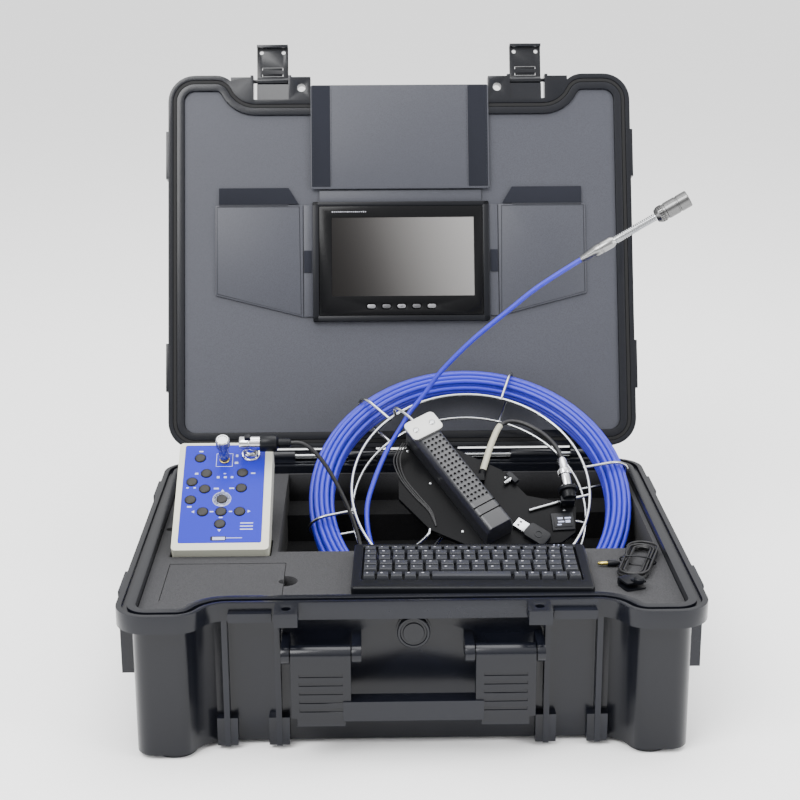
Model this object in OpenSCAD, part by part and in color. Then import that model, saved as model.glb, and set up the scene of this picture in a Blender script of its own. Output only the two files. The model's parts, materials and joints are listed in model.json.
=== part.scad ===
// Pipe inspection camera kit in a hinged hard case.
// X runs across the case, Y runs from front to back, Z is up, millimetres.

/* [Case] */
// Width over the rims
case_w = 504; // [500:1:510]
// Depth of the base over the rim
case_d = 408; // [406:1:412]
// Height of the base with its feet
base_h = 139; // [138:1:141]
// Height of the lid above the joint
lid_h = 50; // [48:1:60]
// Height of the stiff rim on base and lid
rim_h = 16; // [14:1:18]
// Width of the rim's flat face
rim_w = 17; // [16:0.5:17]
// Depth of the step in the front wall behind the handle
notch_d = 27; // [26:0.5:28]
// Lid angle from closed
lid_open = 110.6; // [108:0.1:114]

/* [Monitor] */
// Width of the picture
picture_w = 154; // [150:0.5:154]
// Height of the picture
picture_h = 86; // [80:0.5:86]

/* [Control box] */
// Width of the housing
control_w = 90; // [88:0.5:91]
// Length of the housing
control_l = 129; // [128:0.5:130]
// Thickness of the housing
control_t = 30; // [24:0.5:30]
// Slope of the housing as it leans in its pocket
control_tilt = 32; // [31:0.5:33]

/* [Reel] */
// Radius of the coil's centre line
coil_r = 149.7; // [149:0.1:150]
// Radius of the bundle of turns
bundle_r = 13.5; // [12:0.5:13.5]
// Radius of the two wire rings
ring_r = 119; // [117:0.5:120]
// Radius of the steel wire
wire_r = 1.6; // [1.4:0.1:1.7]
// Rise of the reel's face above flat
reel_rise = 36; // [35.5:0.5:36]
// Diameter of the push rod
rod_d = 5; // [4.5:0.1:5]

/* [Camera head] */
// Diameter of the head
head_d = 17; // [15:0.5:18]
// Length of the head
head_l = 37; // [34:1:38]

/* [Keyboard] */
// Width of the keyboard
keys_w = 211; // [208:1:212]
// Depth of the keyboard
keys_d = 104; // [102:1:104]

/* [Hidden] */
$fn = 48;
y_mid = 96.64;
hw = case_w / 2;
hd = case_d / 2;
corner_r = 29;
lobe_r = 24;
notch_half = 157;
swing = acos(1 - notch_d / (2 * lobe_r));
lobe_x = notch_half + 2 * lobe_r * sin(swing);
body_in = 13;
foot_h = 4;
foam_z = base_h - 8;
recess_z = 27;
hinge_y = hd + 8.4;
hinge_z = base_h + 3;
latch_x = 138.5;
latch_y = -hd + 5;
latch_z = base_h + 8;
handle_y = -192;
handle_z = 98;
panel_w = -3;
mon_w = 176.6;
mon_v0 = 142.8;
mon_v1 = 261.2;
button_v = 151.8;
box_y = -53;
box_z = base_h;
box_x = -174.5;
reel_c = [65, 96, 132];
rod_route = [
    [35, -14, 57], [0, 5, 73], [-23, 24, 88], [-36, 49, 107],
    [-39, 76, 130], [-32, 98, 151], [-19, 121, 175], [-2, 141, 198],
    [7, 148, 211], [22, 152, 229], [38, 153, 251], [70, 153, 284],
    [108, 153, 316], [136, 152, 339], [178, 150, 367]];
head_a = [178, 150, 367];
head_b = [283, 146, 429];
lead_route = [
    [-111, 34, 214], [-100, 34, 213], [-88, 31, 205], [-77, 26, 192],
    [-65, 19, 172], [-54, 12, 148], [-46, 3, 124], [-42, -11, 104],
    [-40, -23, 80], [-40, -29, 60], [-40, -30, 28]];
tail_route = [
    [92, 26, 34], [87, 44, 31], [74, 65, 26], [54, 80, 23],
    [36, 79, 22], [25, 58, 22], [16, 30, 22], [13, 20, 22]];
control_keys = [
    [-24.4, 110], [-17.4, 91], [17, 91.5], [-30.6, 80.7],
    [-18, 72], [16.6, 72.8], [-30.7, 59], [-1.1, 59.4],
    [-18.4, 44.6], [-1.1, 44.6], [16.3, 44.6], [-1.4, 30.2]];
charcoal = "#30343b";
black = "#1b1c1f";
foam_grey = "#67676b";
panel_grey = "#6b6d74";
rod_blue = "#4a55d8";
steel = "#c3c6c9";
cream = "#e8e6d3";

// ---------- frames ----------

module world() { translate([0, -y_mid, 0]) children(); }

// Things drawn as if the lid were shut, swung open about the hinge.
module lid_frame() {
    world()
        translate([0, hinge_y, hinge_z])
            rotate([-lid_open, 0, 0])
                translate([0, -hinge_y, -hinge_z])
                    children();
}

// The lid's inner face: x across, y up from the hinge edge, z to the viewer.
module lid_face() {
    lid_frame()
        translate([0, hd, base_h])
            rotate([180, 0, 0])
                children();
}

// The control box: x from its middle, y up its face, z out of its face.
module box_frame() {
    world()
        translate([box_x, box_y, box_z])
            rotate([control_tilt, 0, 0])
                children();
}

// The reel: x across, y up its face, z out of its face.
module reel_plane() {
    world() translate(reel_c) rotate([reel_rise, 0, 0]) children();
}

// The keyboard, turned a little on the foam.
module keys_frame() {
    world() translate([54, -104, foam_z]) rotate([0, 0, -1.5]) children();
}

// A solid along +Z moved to start at a and point at b.
module along(a, b) {
    d = b - a;
    translate(a)
        rotate([0, acos(d[2] / norm(d)), atan2(d[1], d[0])])
            children();
}

// ---------- shared shapes ----------

function arc(c, r, a0, a1, n) =
    [for (k = [0:n]) let (a = a0 + (a1 - a0) * k / n) c + r * [cos(a), sin(a)]];

// Plan of the case, moved inwards by i; the front wall steps in at the middle.
function plan(i) = concat(
    arc([hw - corner_r, hd - corner_r], corner_r - i, 0, 90, 8),
    arc([-hw + corner_r, hd - corner_r], corner_r - i, 90, 180, 8),
    arc([-hw + corner_r, -hd + corner_r], corner_r - i, 180, 270, 8),
    arc([-lobe_x, -hd + lobe_r], lobe_r - i, 270, 270 + swing, 6),
    arc([-notch_half, -hd + notch_d - lobe_r], lobe_r + i, 90 + swing, 90, 6),
    arc([notch_half, -hd + notch_d - lobe_r], lobe_r + i, 90, 90 - swing, 6),
    arc([lobe_x, -hd + lobe_r], lobe_r - i, 270 - swing, 270, 6),
    arc([hw - corner_r, -hd + corner_r], corner_r - i, 270, 360, 8));

module plate(i, z0, z1) {
    translate([0, 0, z0]) linear_extrude(z1 - z0) polygon(plan(i));
}

module ring(i, j, z0, z1) {
    translate([0, 0, z0])
        linear_extrude(z1 - z0)
            difference() {
                polygon(plan(i));
                polygon(plan(j));
            }
}

module block(x0, x1, y0, y1, z0, z1) {
    translate([x0, y0, z0]) cube([x1 - x0, y1 - y0, z1 - z0]);
}

// The same children on the right and, mirrored, on the left.
module both() {
    children();
    mirror([1, 0, 0]) children();
}

module bar_x(x0, x1, y, z, r) {
    translate([x0, y, z]) rotate([0, 90, 0]) cylinder(r = r, h = x1 - x0);
}

// A slot-shaped prism along X with round ends.
module stadium(len, r, h) {
    linear_extrude(h) {
        square([len - 2 * r, 2 * r], center = true);
        for (s = [-1, 1]) translate([s * (len / 2 - r), 0]) circle(r);
    }
}

// Straight wire from a to b with a ball at each end.
module wire(a, b, r) {
    along(a, b) cylinder(r = r, h = norm(b - a), $fn = 14);
    translate(b) sphere(r, $fn = 14);
}

// Smooth points through a route.
function knot(p, k) = p[max(0, min(len(p) - 1, k))];
function spline(a, b, c, d, t) =
    0.5 * (2 * b + (c - a) * t + (2 * a - 5 * b + 4 * c - d) * t * t
    + (3 * b - a - 3 * c + d) * t * t * t);
function smooth(p, n) = concat(
    [for (k = [0:len(p) - 2], m = [0:n - 1])
        spline(knot(p, k - 1), p[k], p[k + 1], knot(p, k + 2), m / n)],
    [p[len(p) - 1]]);
function unit(v) = v / norm(v);
function heading(p, k) = unit(knot(p, k + 1) - knot(p, k - 1));
function level(t) = unit(cross(t, abs(t[1]) < 0.95 ? [0, 1, 0] : [1, 0, 0]));

// Round tube swept along points.
module tube(p, r, sides) {
    n = len(p);
    skin = [for (k = [0:n - 1], s = [0:sides - 1])
        let (t = heading(p, k), u = level(t), v = cross(t, u))
        p[k] + r * (cos(360 * s / sides) * u + sin(360 * s / sides) * v)];
    walls = [for (k = [0:n - 2], s = [0:sides - 1])
        [k * sides + s, k * sides + (s + 1) % sides,
         (k + 1) * sides + (s + 1) % sides, (k + 1) * sides + s]];
    first = [for (s = [0:sides - 1]) sides - 1 - s];
    last = [for (s = [0:sides - 1]) (n - 1) * sides + s];
    polyhedron(skin, concat([first], walls, [last]), convexity = 4);
}

// ---------- case ----------

module foot() {
    translate([206, 170, 0]) cylinder(r = 18, h = foot_h + 2);
    translate([206, -170, 0]) cylinder(r = 18, h = foot_h + 2);
}

module front_ribs() {
    for (x = [116, 161]) {
        block(x - 2.5, x + 2.5, -176, -163, foot_h, base_h - rim_h + 1);
        block(x - 9, x + 9, -174, -163, foot_h, 30);
    }
}

module handle_boss(x0, x1) {
    bar_x(x0, x1, handle_y, handle_z, 8);
    block(x0, x1, handle_y, -163, handle_z - 8, handle_z + 8);
}

module base_knuckle(x0, x1) {
    bar_x(x0, x1, hinge_y, hinge_z, 6);
    block(x0, x1, hd - 2, hinge_y, base_h - 9, base_h - 0.2);
    block(x0, x1, hinge_y - 5.8, hinge_y, base_h - 3, hinge_z);
}

module case_base() {
    world() color(charcoal) difference() {
        union() {
            plate(0, base_h - rim_h, base_h);
            plate(body_in, foot_h, base_h - rim_h + 1);
            both() {
                foot();
                front_ribs();
                handle_boss(105, 112);
                handle_boss(44, 52);
                // padlock tab and latch keeper
                block(97, 117, -202, -176, base_h - 12, base_h);
                block(120, 157, -184, -176, base_h - 15, base_h - 7);
                // side pillars
                block(238, 254.5, -146, -100, 61, base_h - 1);
                block(238, 254.5, 100, 146, 61, base_h - 1);
                base_knuckle(116, 166);
            }
            base_knuckle(-28, 28);
            // seat of the pressure valve
            translate([1, -163, 107]) rotate([90, 0, 0]) cylinder(r = 15.5, h = 3);
        }
        plate(rim_w, foot_h + 4, base_h + 1);
        ring(5, 9.5, base_h - 3, base_h + 1);
        both() {
            translate([107, -190, base_h - 13]) cylinder(r = 4, h = 14);
            bar_x(43, 113, handle_y, handle_z, 4.06);
        }
        bar_x(-202, 202, hinge_y, hinge_z, 2.55);
        translate([1, -155, 107]) rotate([90, 0, 0]) cylinder(r = 6.06, h = 14);
    }
}

module lid_knuckle(x0, x1) {
    bar_x(x0, x1, hinge_y, hinge_z, 6);
    block(x0, x1, hd - 2, hinge_y, hinge_z, hinge_z + 6);
}

module latch_bracket() {
    // padlock flange with its cheek
    block(97, 118.5, -202, -176, base_h, base_h + 12);
    block(118, 121.2, latch_y - 5, -176, base_h, base_h + 14);
    // outer cheek and gusset
    block(159.3, 162.5, latch_y - 5, -176, base_h, base_h + 14);
    block(162, 184, -202, -176, base_h, base_h + 14);
    // floor between the cheeks
    block(121, 155.5, latch_y + 4.6, -176, base_h + 2, base_h + 8);
}

module case_lid() {
    lid_frame() color(charcoal) difference() {
        union() {
            plate(0, base_h, base_h + rim_h);
            plate(body_in, base_h + rim_h - 1, base_h + lid_h - 5);
            plate(body_in + 3, base_h + lid_h - 6, base_h + lid_h);
            both() {
                latch_bracket();
                lid_knuckle(29, 59);
                lid_knuckle(180, 200);
                // side bosses
                block(238, 254.5, -142, -90, base_h, base_h + rim_h);
                block(238, 254.5, 90, 142, base_h, base_h + rim_h);
            }
        }
        plate(rim_w, base_h - 1, base_h + lid_h - 7);
        ring(5, 9.5, base_h - 1, base_h + 3);
        both() {
            translate([107, -190, base_h - 1]) cylinder(r = 4.5, h = 14);
            bar_x(117, 163, latch_y, latch_z, 2.06);
        }
        bar_x(-202, 202, hinge_y, hinge_z, 2.55);
    }
}

module lid_gasket() {
    lid_frame() color(black) ring(5.6, 8.9, base_h + 0.2, base_h + 3);
}

module hinge_rod() {
    world() color(steel) bar_x(-201, 201, hinge_y, hinge_z, 2.5);
}

module latch() {
    color(black) difference() {
        union() {
            bar_x(latch_x - 17, latch_x + 17, latch_y, latch_z, 4);
            bar_x(latch_x - 20.4, latch_x + 22, latch_y, latch_z, 2);
            block(latch_x - 17, latch_x + 17, latch_y - 39, latch_y,
                latch_z - 2, latch_z + 1.6);
            block(latch_x - 17, latch_x + 17, latch_y - 39, latch_y - 36,
                latch_z - 8, latch_z + 1.6);
        }
        for (s = [-1, 1])
            translate([latch_x + s * 12, latch_y - 31.7, latch_z - 3])
                cylinder(r = 2.2, h = 6);
        // buckle window
        difference() {
            block(latch_x - 11.5, latch_x + 11.5, latch_y - 15, latch_y - 5,
                latch_z - 3, latch_z + 3);
            block(latch_x - 12, latch_x + 12, latch_y - 12, latch_y - 8,
                latch_z - 2, latch_z + 1.6);
        }
    }
}

module latch_right() { lid_frame() latch(); }
module latch_left() { lid_frame() mirror([1, 0, 0]) latch(); }

module carry_handle() {
    world() color(charcoal) difference() {
        union() {
            both() {
                bar_x(53, 104, handle_y, handle_z, 8);
                bar_x(44, 112, handle_y, handle_z, 4);
                block(53, 104, handle_y - 8, handle_y + 8, 42, handle_z);
                block(58, 99, handle_y - 8, handle_y + 8, 34.5, 43);
            }
            block(-60, 60, handle_y - 10, handle_y + 6, 40, 58);
        }
        // moulded grooves on the arms
        both() for (k = [0:4])
            block(60, 97, handle_y - 9, handle_y - 6.8, 48 + 8 * k, 51 + 8 * k);
    }
}

module pressure_valve() {
    world() color(black) translate([1, 0, 107]) rotate([90, 0, 0]) difference() {
        union() {
            translate([0, 0, 166.3]) cylinder(r = 14.3, h = 5.2);
            translate([0, 0, 161]) cylinder(r = 6, h = 6);
        }
        for (a = [0, 90])
            rotate([0, 0, a]) translate([-9, -1.5, 169.5]) cube([18, 3, 3]);
    }
}

// ---------- foam ----------

module foam_tray() {
    world() color(foam_grey) difference() {
        plate(rim_w + 0.4, foot_h + 4.2, foam_z);
        // reel recess with two steps at the back
        block(-122, 230.5, -39, 110, recess_z, foam_z + 1);
        block(-122, 230.5, 109, 140, 72, foam_z + 1);
        block(-122, 230.5, 139, 184, 101, foam_z + 1);
        block(-12, 40, -52, -38, recess_z, foam_z + 1);
        // pocket in which the control box leans
        block(-221.5, -127.5, -49.5, -8.8, 109, foam_z + 1);
        // lidded pocket, its ledge and its finger notch
        block(-219, -112.5, -152, -66.5, foam_z - 10, foam_z + 1);
        block(-213, -118.5, -146, -72.5, 60, foam_z + 1);
        translate([-112.5, -110, foam_z - 9]) cylinder(r = 12, h = 10);
        // finger hole beside the control box
        translate([-228, 23, foam_z - 12]) cylinder(r = 4.5, h = 13);
    }
}

module pocket_lid() {
    world() color(foam_grey) difference() {
        block(-218.5, -113, -151.5, -67, foam_z - 9.8, foam_z - 0.2);
        translate([-112.5, -110, foam_z - 10]) cylinder(r = 5, h = 11);
    }
}

// ---------- lid interior ----------

module lid_panel() {
    lid_frame() color(panel_grey) difference() {
        plate(rim_w + 0.4, base_h - panel_w, base_h - panel_w + 4);
        block(-mon_w / 2 - 0.6, mon_w / 2 + 0.6, hd - mon_v1 - 0.6,
            hd - mon_v0 + 0.6, base_h, base_h + 10);
    }
}

module monitor_shroud() {
    lid_face() color(panel_grey) difference() {
        union() {
            block(-95.6, 95.6, 136.2, 266.8, panel_w, 5);
            block(-88, 88, 266, 280, panel_w, -0.4);
            both() block(95, 105.4, 142, 264, panel_w, -0.4);
        }
        block(-mon_w / 2 - 0.3, mon_w / 2 + 0.3, mon_v0 - 0.3, mon_v1 + 0.3, -4, 6);
    }
}

module monitor_body() {
    lid_face() color(black) difference() {
        block(-mon_w / 2, mon_w / 2, mon_v0, mon_v1, -18, 6);
        block(2 - picture_w / 2, 2 + picture_w / 2, 206 - picture_h / 2,
            206 + picture_h / 2, 4.4, 7);
        for (k = [-2:2])
            translate([k * 16.3, button_v, 3.4]) stadium(11.4, 3.3, 4);
    }
}

module display_glass() {
    lid_face() color("#3a3530")
        block(2.1 - picture_w / 2, 1.9 + picture_w / 2, 206.1 - picture_h / 2,
            205.9 + picture_h / 2, 4.4, 5.6);
}

module monitor_button(k) {
    lid_face() color(steel)
        translate([(k - 3) * 16.3, button_v, 4.4]) stadium(10.6, 2.9, 2.6);
}

module shade_top() {
    lid_face() color(panel_grey) {
        block(-97, 97, 282, 396, 0.4, 2.8);
        bar_x(-97, 97, 282, 1.6, 1.2);
    }
}

module side_shade() {
    color(panel_grey) {
        translate([0, 0, -2.6])
            linear_extrude(2.2)
                polygon([[107, 141.4], [201, 166], [201, 264], [197, 264],
                    [197, 283], [122, 283], [122, 264], [107, 264]]);
        translate([107, 141.4, -1.5])
            rotate([-90, 0, 0])
                cylinder(r = 1.1, h = 122.6);
    }
}

module shade_right() { lid_face() side_shade(); }
module shade_left() { lid_face() mirror([1, 0, 0]) side_shade(); }

// ---------- control box ----------

module rounded_plate(w, l, r, h) {
    linear_extrude(h) {
        translate([-w / 2 + r, 0]) square([w - 2 * r, l]);
        translate([-w / 2, r]) square([w, l - 2 * r]);
        for (x = [-w / 2 + r, w / 2 - r], y = [r, l - r])
            translate([x, y]) circle(r);
    }
}

module control_case() {
    box_frame() color(cream) difference() {
        translate([0, 0, -control_t])
            rounded_plate(control_w, control_l, 4, control_t);
        // recess for the overlay, wells for the keys, bores for the controls
        translate([-0.7, 8, -0.8]) rounded_plate(77.4, 118, 2, 2);
        for (p = control_keys)
            translate([p[0], p[1], -4]) cylinder(r = 5.6, h = 5);
        translate([-0.9, 107.4, -12]) cylinder(r = 3.06, h = 13);
        translate([24.2, 113.7, -12]) cylinder(r = 7.1, h = 13);
    }
}

module control_overlay() {
    box_frame() color("#4c5be0") difference() {
        translate([-0.7, 8.2, -0.8]) rounded_plate(77, 117.6, 2, 0.8);
        for (p = control_keys)
            translate([p[0], p[1], -2]) cylinder(r = 5.6, h = 3);
        translate([-0.9, 107.4, -2]) cylinder(r = 3.3, h = 3);
        translate([24.2, 113.7, -2]) cylinder(r = 7.3, h = 3);
    }
}

module control_button(k) {
    p = control_keys[k - 1];
    box_frame() color("#3b3833")
        translate([p[0], p[1], -2.8]) {
            cylinder(r = 5.2, h = 3.6);
            cylinder(r = 4.2, h = 4.2);
        }
}

module control_knob() {
    box_frame() color(steel) translate([-0.9, 107.4, 0]) {
        translate([0, 0, -11]) cylinder(r = 3, h = 17);
        translate([0, 0, 5]) cylinder(r = 5, h = 15);
        translate([0, 0, 19]) cylinder(r = 6.4, h = 12);
    }
}

module control_socket() {
    box_frame() color(steel) translate([24.2, 113.7, 0]) {
        translate([0, 0, -11]) cylinder(r = 7, h = 12);
        cylinder(r = 9, h = 2.4);
        translate([0, 0, 2]) cylinder(r = 7.5, h = 5);
    }
}

module lead_plug() {
    box_frame() translate([24.2, 113.7, 0]) {
        color(steel) {
            translate([0, 0, 7]) cylinder(r = 5.6, h = 11);
            bar_x(-10, 10, 0, 17.2, 7);
        }
        color(black) {
            bar_x(9.5, 27, 0, 17.2, 8.4);
            bar_x(26, 39.3, 0, 17.2, 4);
            translate([-5, -2.5, 23]) cube([6, 5, 5]);
        }
    }
}

module control_lead() {
    world() color(black) tube(smooth(lead_route, 3), 2, 8);
}

// ---------- reel ----------

module coil_tube(r, h) {
    translate([0, 0, h])
        rotate_extrude($fn = 64)
            translate([r, 0]) circle(wire_r, $fn = 14);
}

// Wire that wraps the bundle from the front ring to the back ring.
module hoop(a) {
    rotate([0, 0, 90 - a]) {
        for (h = [-19, 19])
            translate([ring_r, 0, h])
                rotate([0, 90, 0])
                    cylinder(r = wire_r, h = 28, $fn = 14);
        translate([ring_r + 28, 0, 0])
            rotate([90, 0, 0])
                rotate([0, 0, -90])
                    rotate_extrude(angle = 180, $fn = 32)
                        translate([19, 0]) circle(wire_r, $fn = 14);
    }
}

module reel_frame() {
    reel_plane() color(steel) {
        coil_tube(ring_r, 20);
        coil_tube(ring_r, -20);
        for (k = [0:5]) hoop(18 + 60 * k);
        // spokes on the back ring that carry the hub
        for (a = [98, 218, 338])
            rotate([0, 0, -a]) wire([0, 28, -9], [0, ring_r, -20], wire_r);
        // bow that guides the rod to the clamp plate
        wire([-74, 93.2, 20], [-75, 91, 37], wire_r);
        wire([-75, 91, 37], [-62, 74, 43], wire_r);
        wire([-62, 74, 43], [-55.5, 66, 44], wire_r);
    }
}

module reel_hub() {
    reel_plane() color(black) difference() {
        union() {
            translate([0, 0, -12]) cylinder(r = 30, h = 26);
            translate([0, 0, 13])
                linear_extrude(5)
                    polygon([[-72, 42], [-58, 60], [-30, 60], [32, 24],
                        [56, -8], [88, -16], [104, -22], [101, -52],
                        [86, -64], [-2, -68], [-42, -47], [-72, -10]]);
            // gland where the tail lead goes in
            along([11, 12, 22], [13, 20, 22]) cylinder(r = 3.8, h = 8.2);
            translate([5, 6, 17]) cube([9, 8, 9]);
        }
        // sockets for the spokes and a bore through the boss
        translate([0, 0, -13]) cylinder(r = 8, h = 28);
        for (a = [98, 218, 338])
            rotate([0, 0, -a]) along([0, 28, -9], [0, ring_r, -20])
                translate([0, 0, -3]) cylinder(r = 1.8, h = 20);
    }
}

// Frame along the handle grip, which lies across the hub.
module grip_frame() {
    reel_plane()
        translate([-46, 58, 18])
            rotate([0, 0, 180 + atan2(73, 120)])
                children();
}

module reel_grip() {
    grip_frame() color(black) {
        translate([-15, -10, 0]) cube([30, 148, 20]);
        translate([-12, -10, 19]) cube([24, 140, 8]);
    }
}

module clamp_plate() {
    grip_frame() color(steel) difference() {
        translate([-15, -9, 27]) cube([30, 19, 2.4]);
        for (s = [-1, 1]) translate([s * 9.5, 0.5, 26]) cylinder(r = 1.6, h = 4);
    }
}

module reel_socket() {
    reel_plane() color(black) along([96, -12, 30], [92, 26, 34]) difference() {
        union() {
            cylinder(r = 10, h = 4);
            translate([0, 0, -8]) cylinder(r = 7, h = 9);
        }
        for (a = [45:90:315])
            rotate([0, 0, a]) translate([8, 0, -1]) cylinder(r = 1, h = 6);
    }
    reel_plane() color(black) {
        translate([88, -23, 18]) cube([14, 7, 12]);
    }
}

module tail_plug() {
    reel_plane() color(steel) along([96, -12, 30], [92, 26, 34]) {
        translate([0, 0, 4]) cylinder(r = 5, h = 16);
        translate([0, 0, 19]) cylinder(r = 6.5, h = 6);
        translate([0, 0, 24]) cylinder(r = 4.5, h = 14.4);
    }
}

module tail_lead() {
    reel_plane() color(black) tube(smooth(tail_route, 3), 2.6, 8);
}

module push_rod_coil() {
    reel_plane() color(rod_blue)
        rotate_extrude($fn = 72) translate([coil_r, 0]) circle(bundle_r, $fn = 24);
}

module push_rod_free() {
    world() color(rod_blue) tube(smooth(rod_route, 3), rod_d / 2, 10);
}

// ---------- camera head ----------

module head_frame() {
    world() along(head_a, head_b) children();
}

head_len = norm(head_b - head_a);

module head_ferrule() {
    head_frame() color(steel) {
        cylinder(r1 = 3.4, r2 = 5.4, h = 16);
        translate([0, 0, 15.9]) cylinder(r = 5.6, h = 22);
    }
}

module head_spring() {
    head_frame() color(steel)
        translate([0, 0, 37.9])
            cylinder(r = 4.2, h = head_len - head_l - 37.9);
}

module head_housing() {
    head_frame() color(steel) translate([0, 0, head_len - head_l]) difference() {
        union() {
            cylinder(r1 = head_d / 2 - 2.5, r2 = head_d / 2, h = 4);
            translate([0, 0, 4]) cylinder(r = head_d / 2, h = head_l - 4);
        }
        translate([0, 0, head_l - 4]) cylinder(r = head_d / 2 - 1.8, h = 5);
    }
}

module head_window() {
    head_frame() color("#9fb6bd")
        translate([0, 0, head_len - 4]) cylinder(r = head_d / 2 - 1.8, h = 2.6);
}

// ---------- accessories ----------

key_rows = [
    [16, 7.5, 38], [15, 11.2, 27.4], [15, 11.2, 15], [14, 11.2, 2.6],
    [14, 11.2, -9.8]];

module keyboard_tray() {
    keys_frame() color(black) difference() {
        union() {
            block(-keys_w / 2, keys_w / 2, -keys_d / 2 + 4, keys_d / 2 - 4, 0, 11);
            block(-keys_w / 2 + 4, keys_w / 2 - 4, -keys_d / 2, keys_d / 2, 0, 11);
            for (x = [-1, 1], y = [-1, 1])
                translate([x * (keys_w / 2 - 4), y * (keys_d / 2 - 4), 0])
                    cylinder(r = 4, h = 11);
        }
        block(-97, 97, -33, 47, 7, 12);
    }
}

module key_mat() {
    keys_frame() color(black) {
        difference() {
            block(-96.7, 96.7, -32.7, 46.7, 7, 8.4);
            block(-36, 35, -30.5, -19, 6, 9);
        }
        for (row = key_rows) {
            n = row[0];
            pitch = 192 / n;
            for (k = [0:n - 1])
                block(-96 + k * pitch, -96 + (k + 1) * pitch - 1.6,
                    row[2] - row[1] / 2 + 0.6, row[2] + row[1] / 2 - 0.6, 8.2, 13.4);
        }
        for (k = [0:4], s = [-1, 1])
            translate([s * (42 + 12.1 * k), -24.8, 8.2])
                translate([-5.2, -5, 0]) cube([10.4, 10, 5.2]);
    }
}

module space_bar() {
    keys_frame() color(black) {
        block(-35, 34, -30, -19.6, 9, 13.4);
        block(-30, 29, -28, -21.4, 7.6, 9.2);
    }
}

module mic_lead() {
    world() color(black)
        translate([207, -82, foam_z])
            rotate([0, 0, 72])
                difference() {
                    stadium(84, 16, 9);
                    translate([0, 0, -1]) stadium(46, 4, 11);
                }
}

module mic_jack() {
    world() translate([170, -84, foam_z + 3.2]) {
        color(steel) bar_x(0, 9, 0, 0, 1.75);
        color(black) bar_x(9, 20, 0, 0, 3);
    }
}

module mic_clip() {
    world() color(black) translate([194, -132, foam_z]) rotate([0, 0, 20]) {
        translate([-10, -9, 0]) cube([20, 18, 2]);
        translate([-10, -9, 6]) cube([20, 18, 2]);
        translate([-10, 5, 1]) cube([20, 4, 6]);
        translate([0, -12, 8]) cylinder(r = 5, h = 6);
        translate([-3, -12, 7]) cube([6, 10, 2]);
    }
}

module memory_card() {
    reel_plane() color(black)
        translate([79, -51, 18]) rotate([0, 0, 3]) {
            cube([22, 20, 2.2]);
            translate([2, 3, 2]) cube([18, 13, 0.8]);
        }
}

case_base();
case_lid();
lid_gasket();
hinge_rod();
latch_left();
latch_right();
carry_handle();
pressure_valve();
foam_tray();
pocket_lid();
lid_panel();
monitor_shroud();
monitor_body();
display_glass();
shade_top();
shade_left();
shade_right();
monitor_button(1);  // monitor_button_1
monitor_button(2);  // monitor_button_2
monitor_button(3);  // monitor_button_3
monitor_button(4);  // monitor_button_4
monitor_button(5);  // monitor_button_5
control_case();
control_overlay();
control_knob();
control_socket();
lead_plug();
control_lead();
control_button(1);  // control_button_01
control_button(2);  // control_button_02
control_button(3);  // control_button_03
control_button(4);  // control_button_04
control_button(5);  // control_button_05
control_button(6);  // control_button_06
control_button(7);  // control_button_07
control_button(8);  // control_button_08
control_button(9);  // control_button_09
control_button(10);  // control_button_10
control_button(11);  // control_button_11
control_button(12);  // control_button_12
reel_frame();
reel_hub();
reel_grip();
clamp_plate();
reel_socket();
tail_plug();
tail_lead();
push_rod_coil();
push_rod_free();
head_ferrule();
head_spring();
head_housing();
head_window();
keyboard_tray();
key_mat();
space_bar();
mic_lead();
mic_jack();
mic_clip();
memory_card();
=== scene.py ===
"""Visual model of a pipe inspection camera kit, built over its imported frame.

Lengths are in millimetres inside the classes and in metres in the meshes.
"""

import json
import logging
import math
from dataclasses import dataclass, field
from enum import Enum
from typing import Iterable, List, Optional, Sequence, Tuple

import bmesh
import bpy
from mathutils import Matrix, Vector

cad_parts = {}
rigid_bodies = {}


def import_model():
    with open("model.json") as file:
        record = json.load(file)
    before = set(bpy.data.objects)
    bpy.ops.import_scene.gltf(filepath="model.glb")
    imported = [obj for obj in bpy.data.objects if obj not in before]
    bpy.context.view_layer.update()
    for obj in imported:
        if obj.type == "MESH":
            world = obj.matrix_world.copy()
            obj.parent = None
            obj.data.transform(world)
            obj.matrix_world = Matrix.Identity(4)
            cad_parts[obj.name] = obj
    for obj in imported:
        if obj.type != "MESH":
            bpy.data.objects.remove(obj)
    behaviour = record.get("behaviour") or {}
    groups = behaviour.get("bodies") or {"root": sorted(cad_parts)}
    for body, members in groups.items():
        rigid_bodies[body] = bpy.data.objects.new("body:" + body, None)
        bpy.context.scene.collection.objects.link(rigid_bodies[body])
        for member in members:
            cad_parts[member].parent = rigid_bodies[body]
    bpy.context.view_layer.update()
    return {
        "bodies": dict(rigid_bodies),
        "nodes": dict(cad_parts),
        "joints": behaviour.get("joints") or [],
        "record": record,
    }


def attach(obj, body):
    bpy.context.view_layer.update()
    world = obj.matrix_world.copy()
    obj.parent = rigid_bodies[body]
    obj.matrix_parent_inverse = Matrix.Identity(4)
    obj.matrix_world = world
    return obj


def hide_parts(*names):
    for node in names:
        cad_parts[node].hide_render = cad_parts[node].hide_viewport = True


log = logging.getLogger("kit")
logging.basicConfig(level=logging.INFO, format="%(name)s: %(message)s")

Point = Sequence[float]
Colour = Tuple[float, float, float]
Shade = Tuple[float, float, float, float]

MM = 0.001
Y_MID = 96.64
LID_OPEN = 110.6
HINGE = (212.4, 142.0)
REAR = 204.0
RIM = 139.0
LATCH_X = 138.5
LATCH_SLOT = 10.9
BUTTON_PITCH = 16.3
BUTTON_ROW = 151.8


# ---------------------------------------------------------------- places


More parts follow.
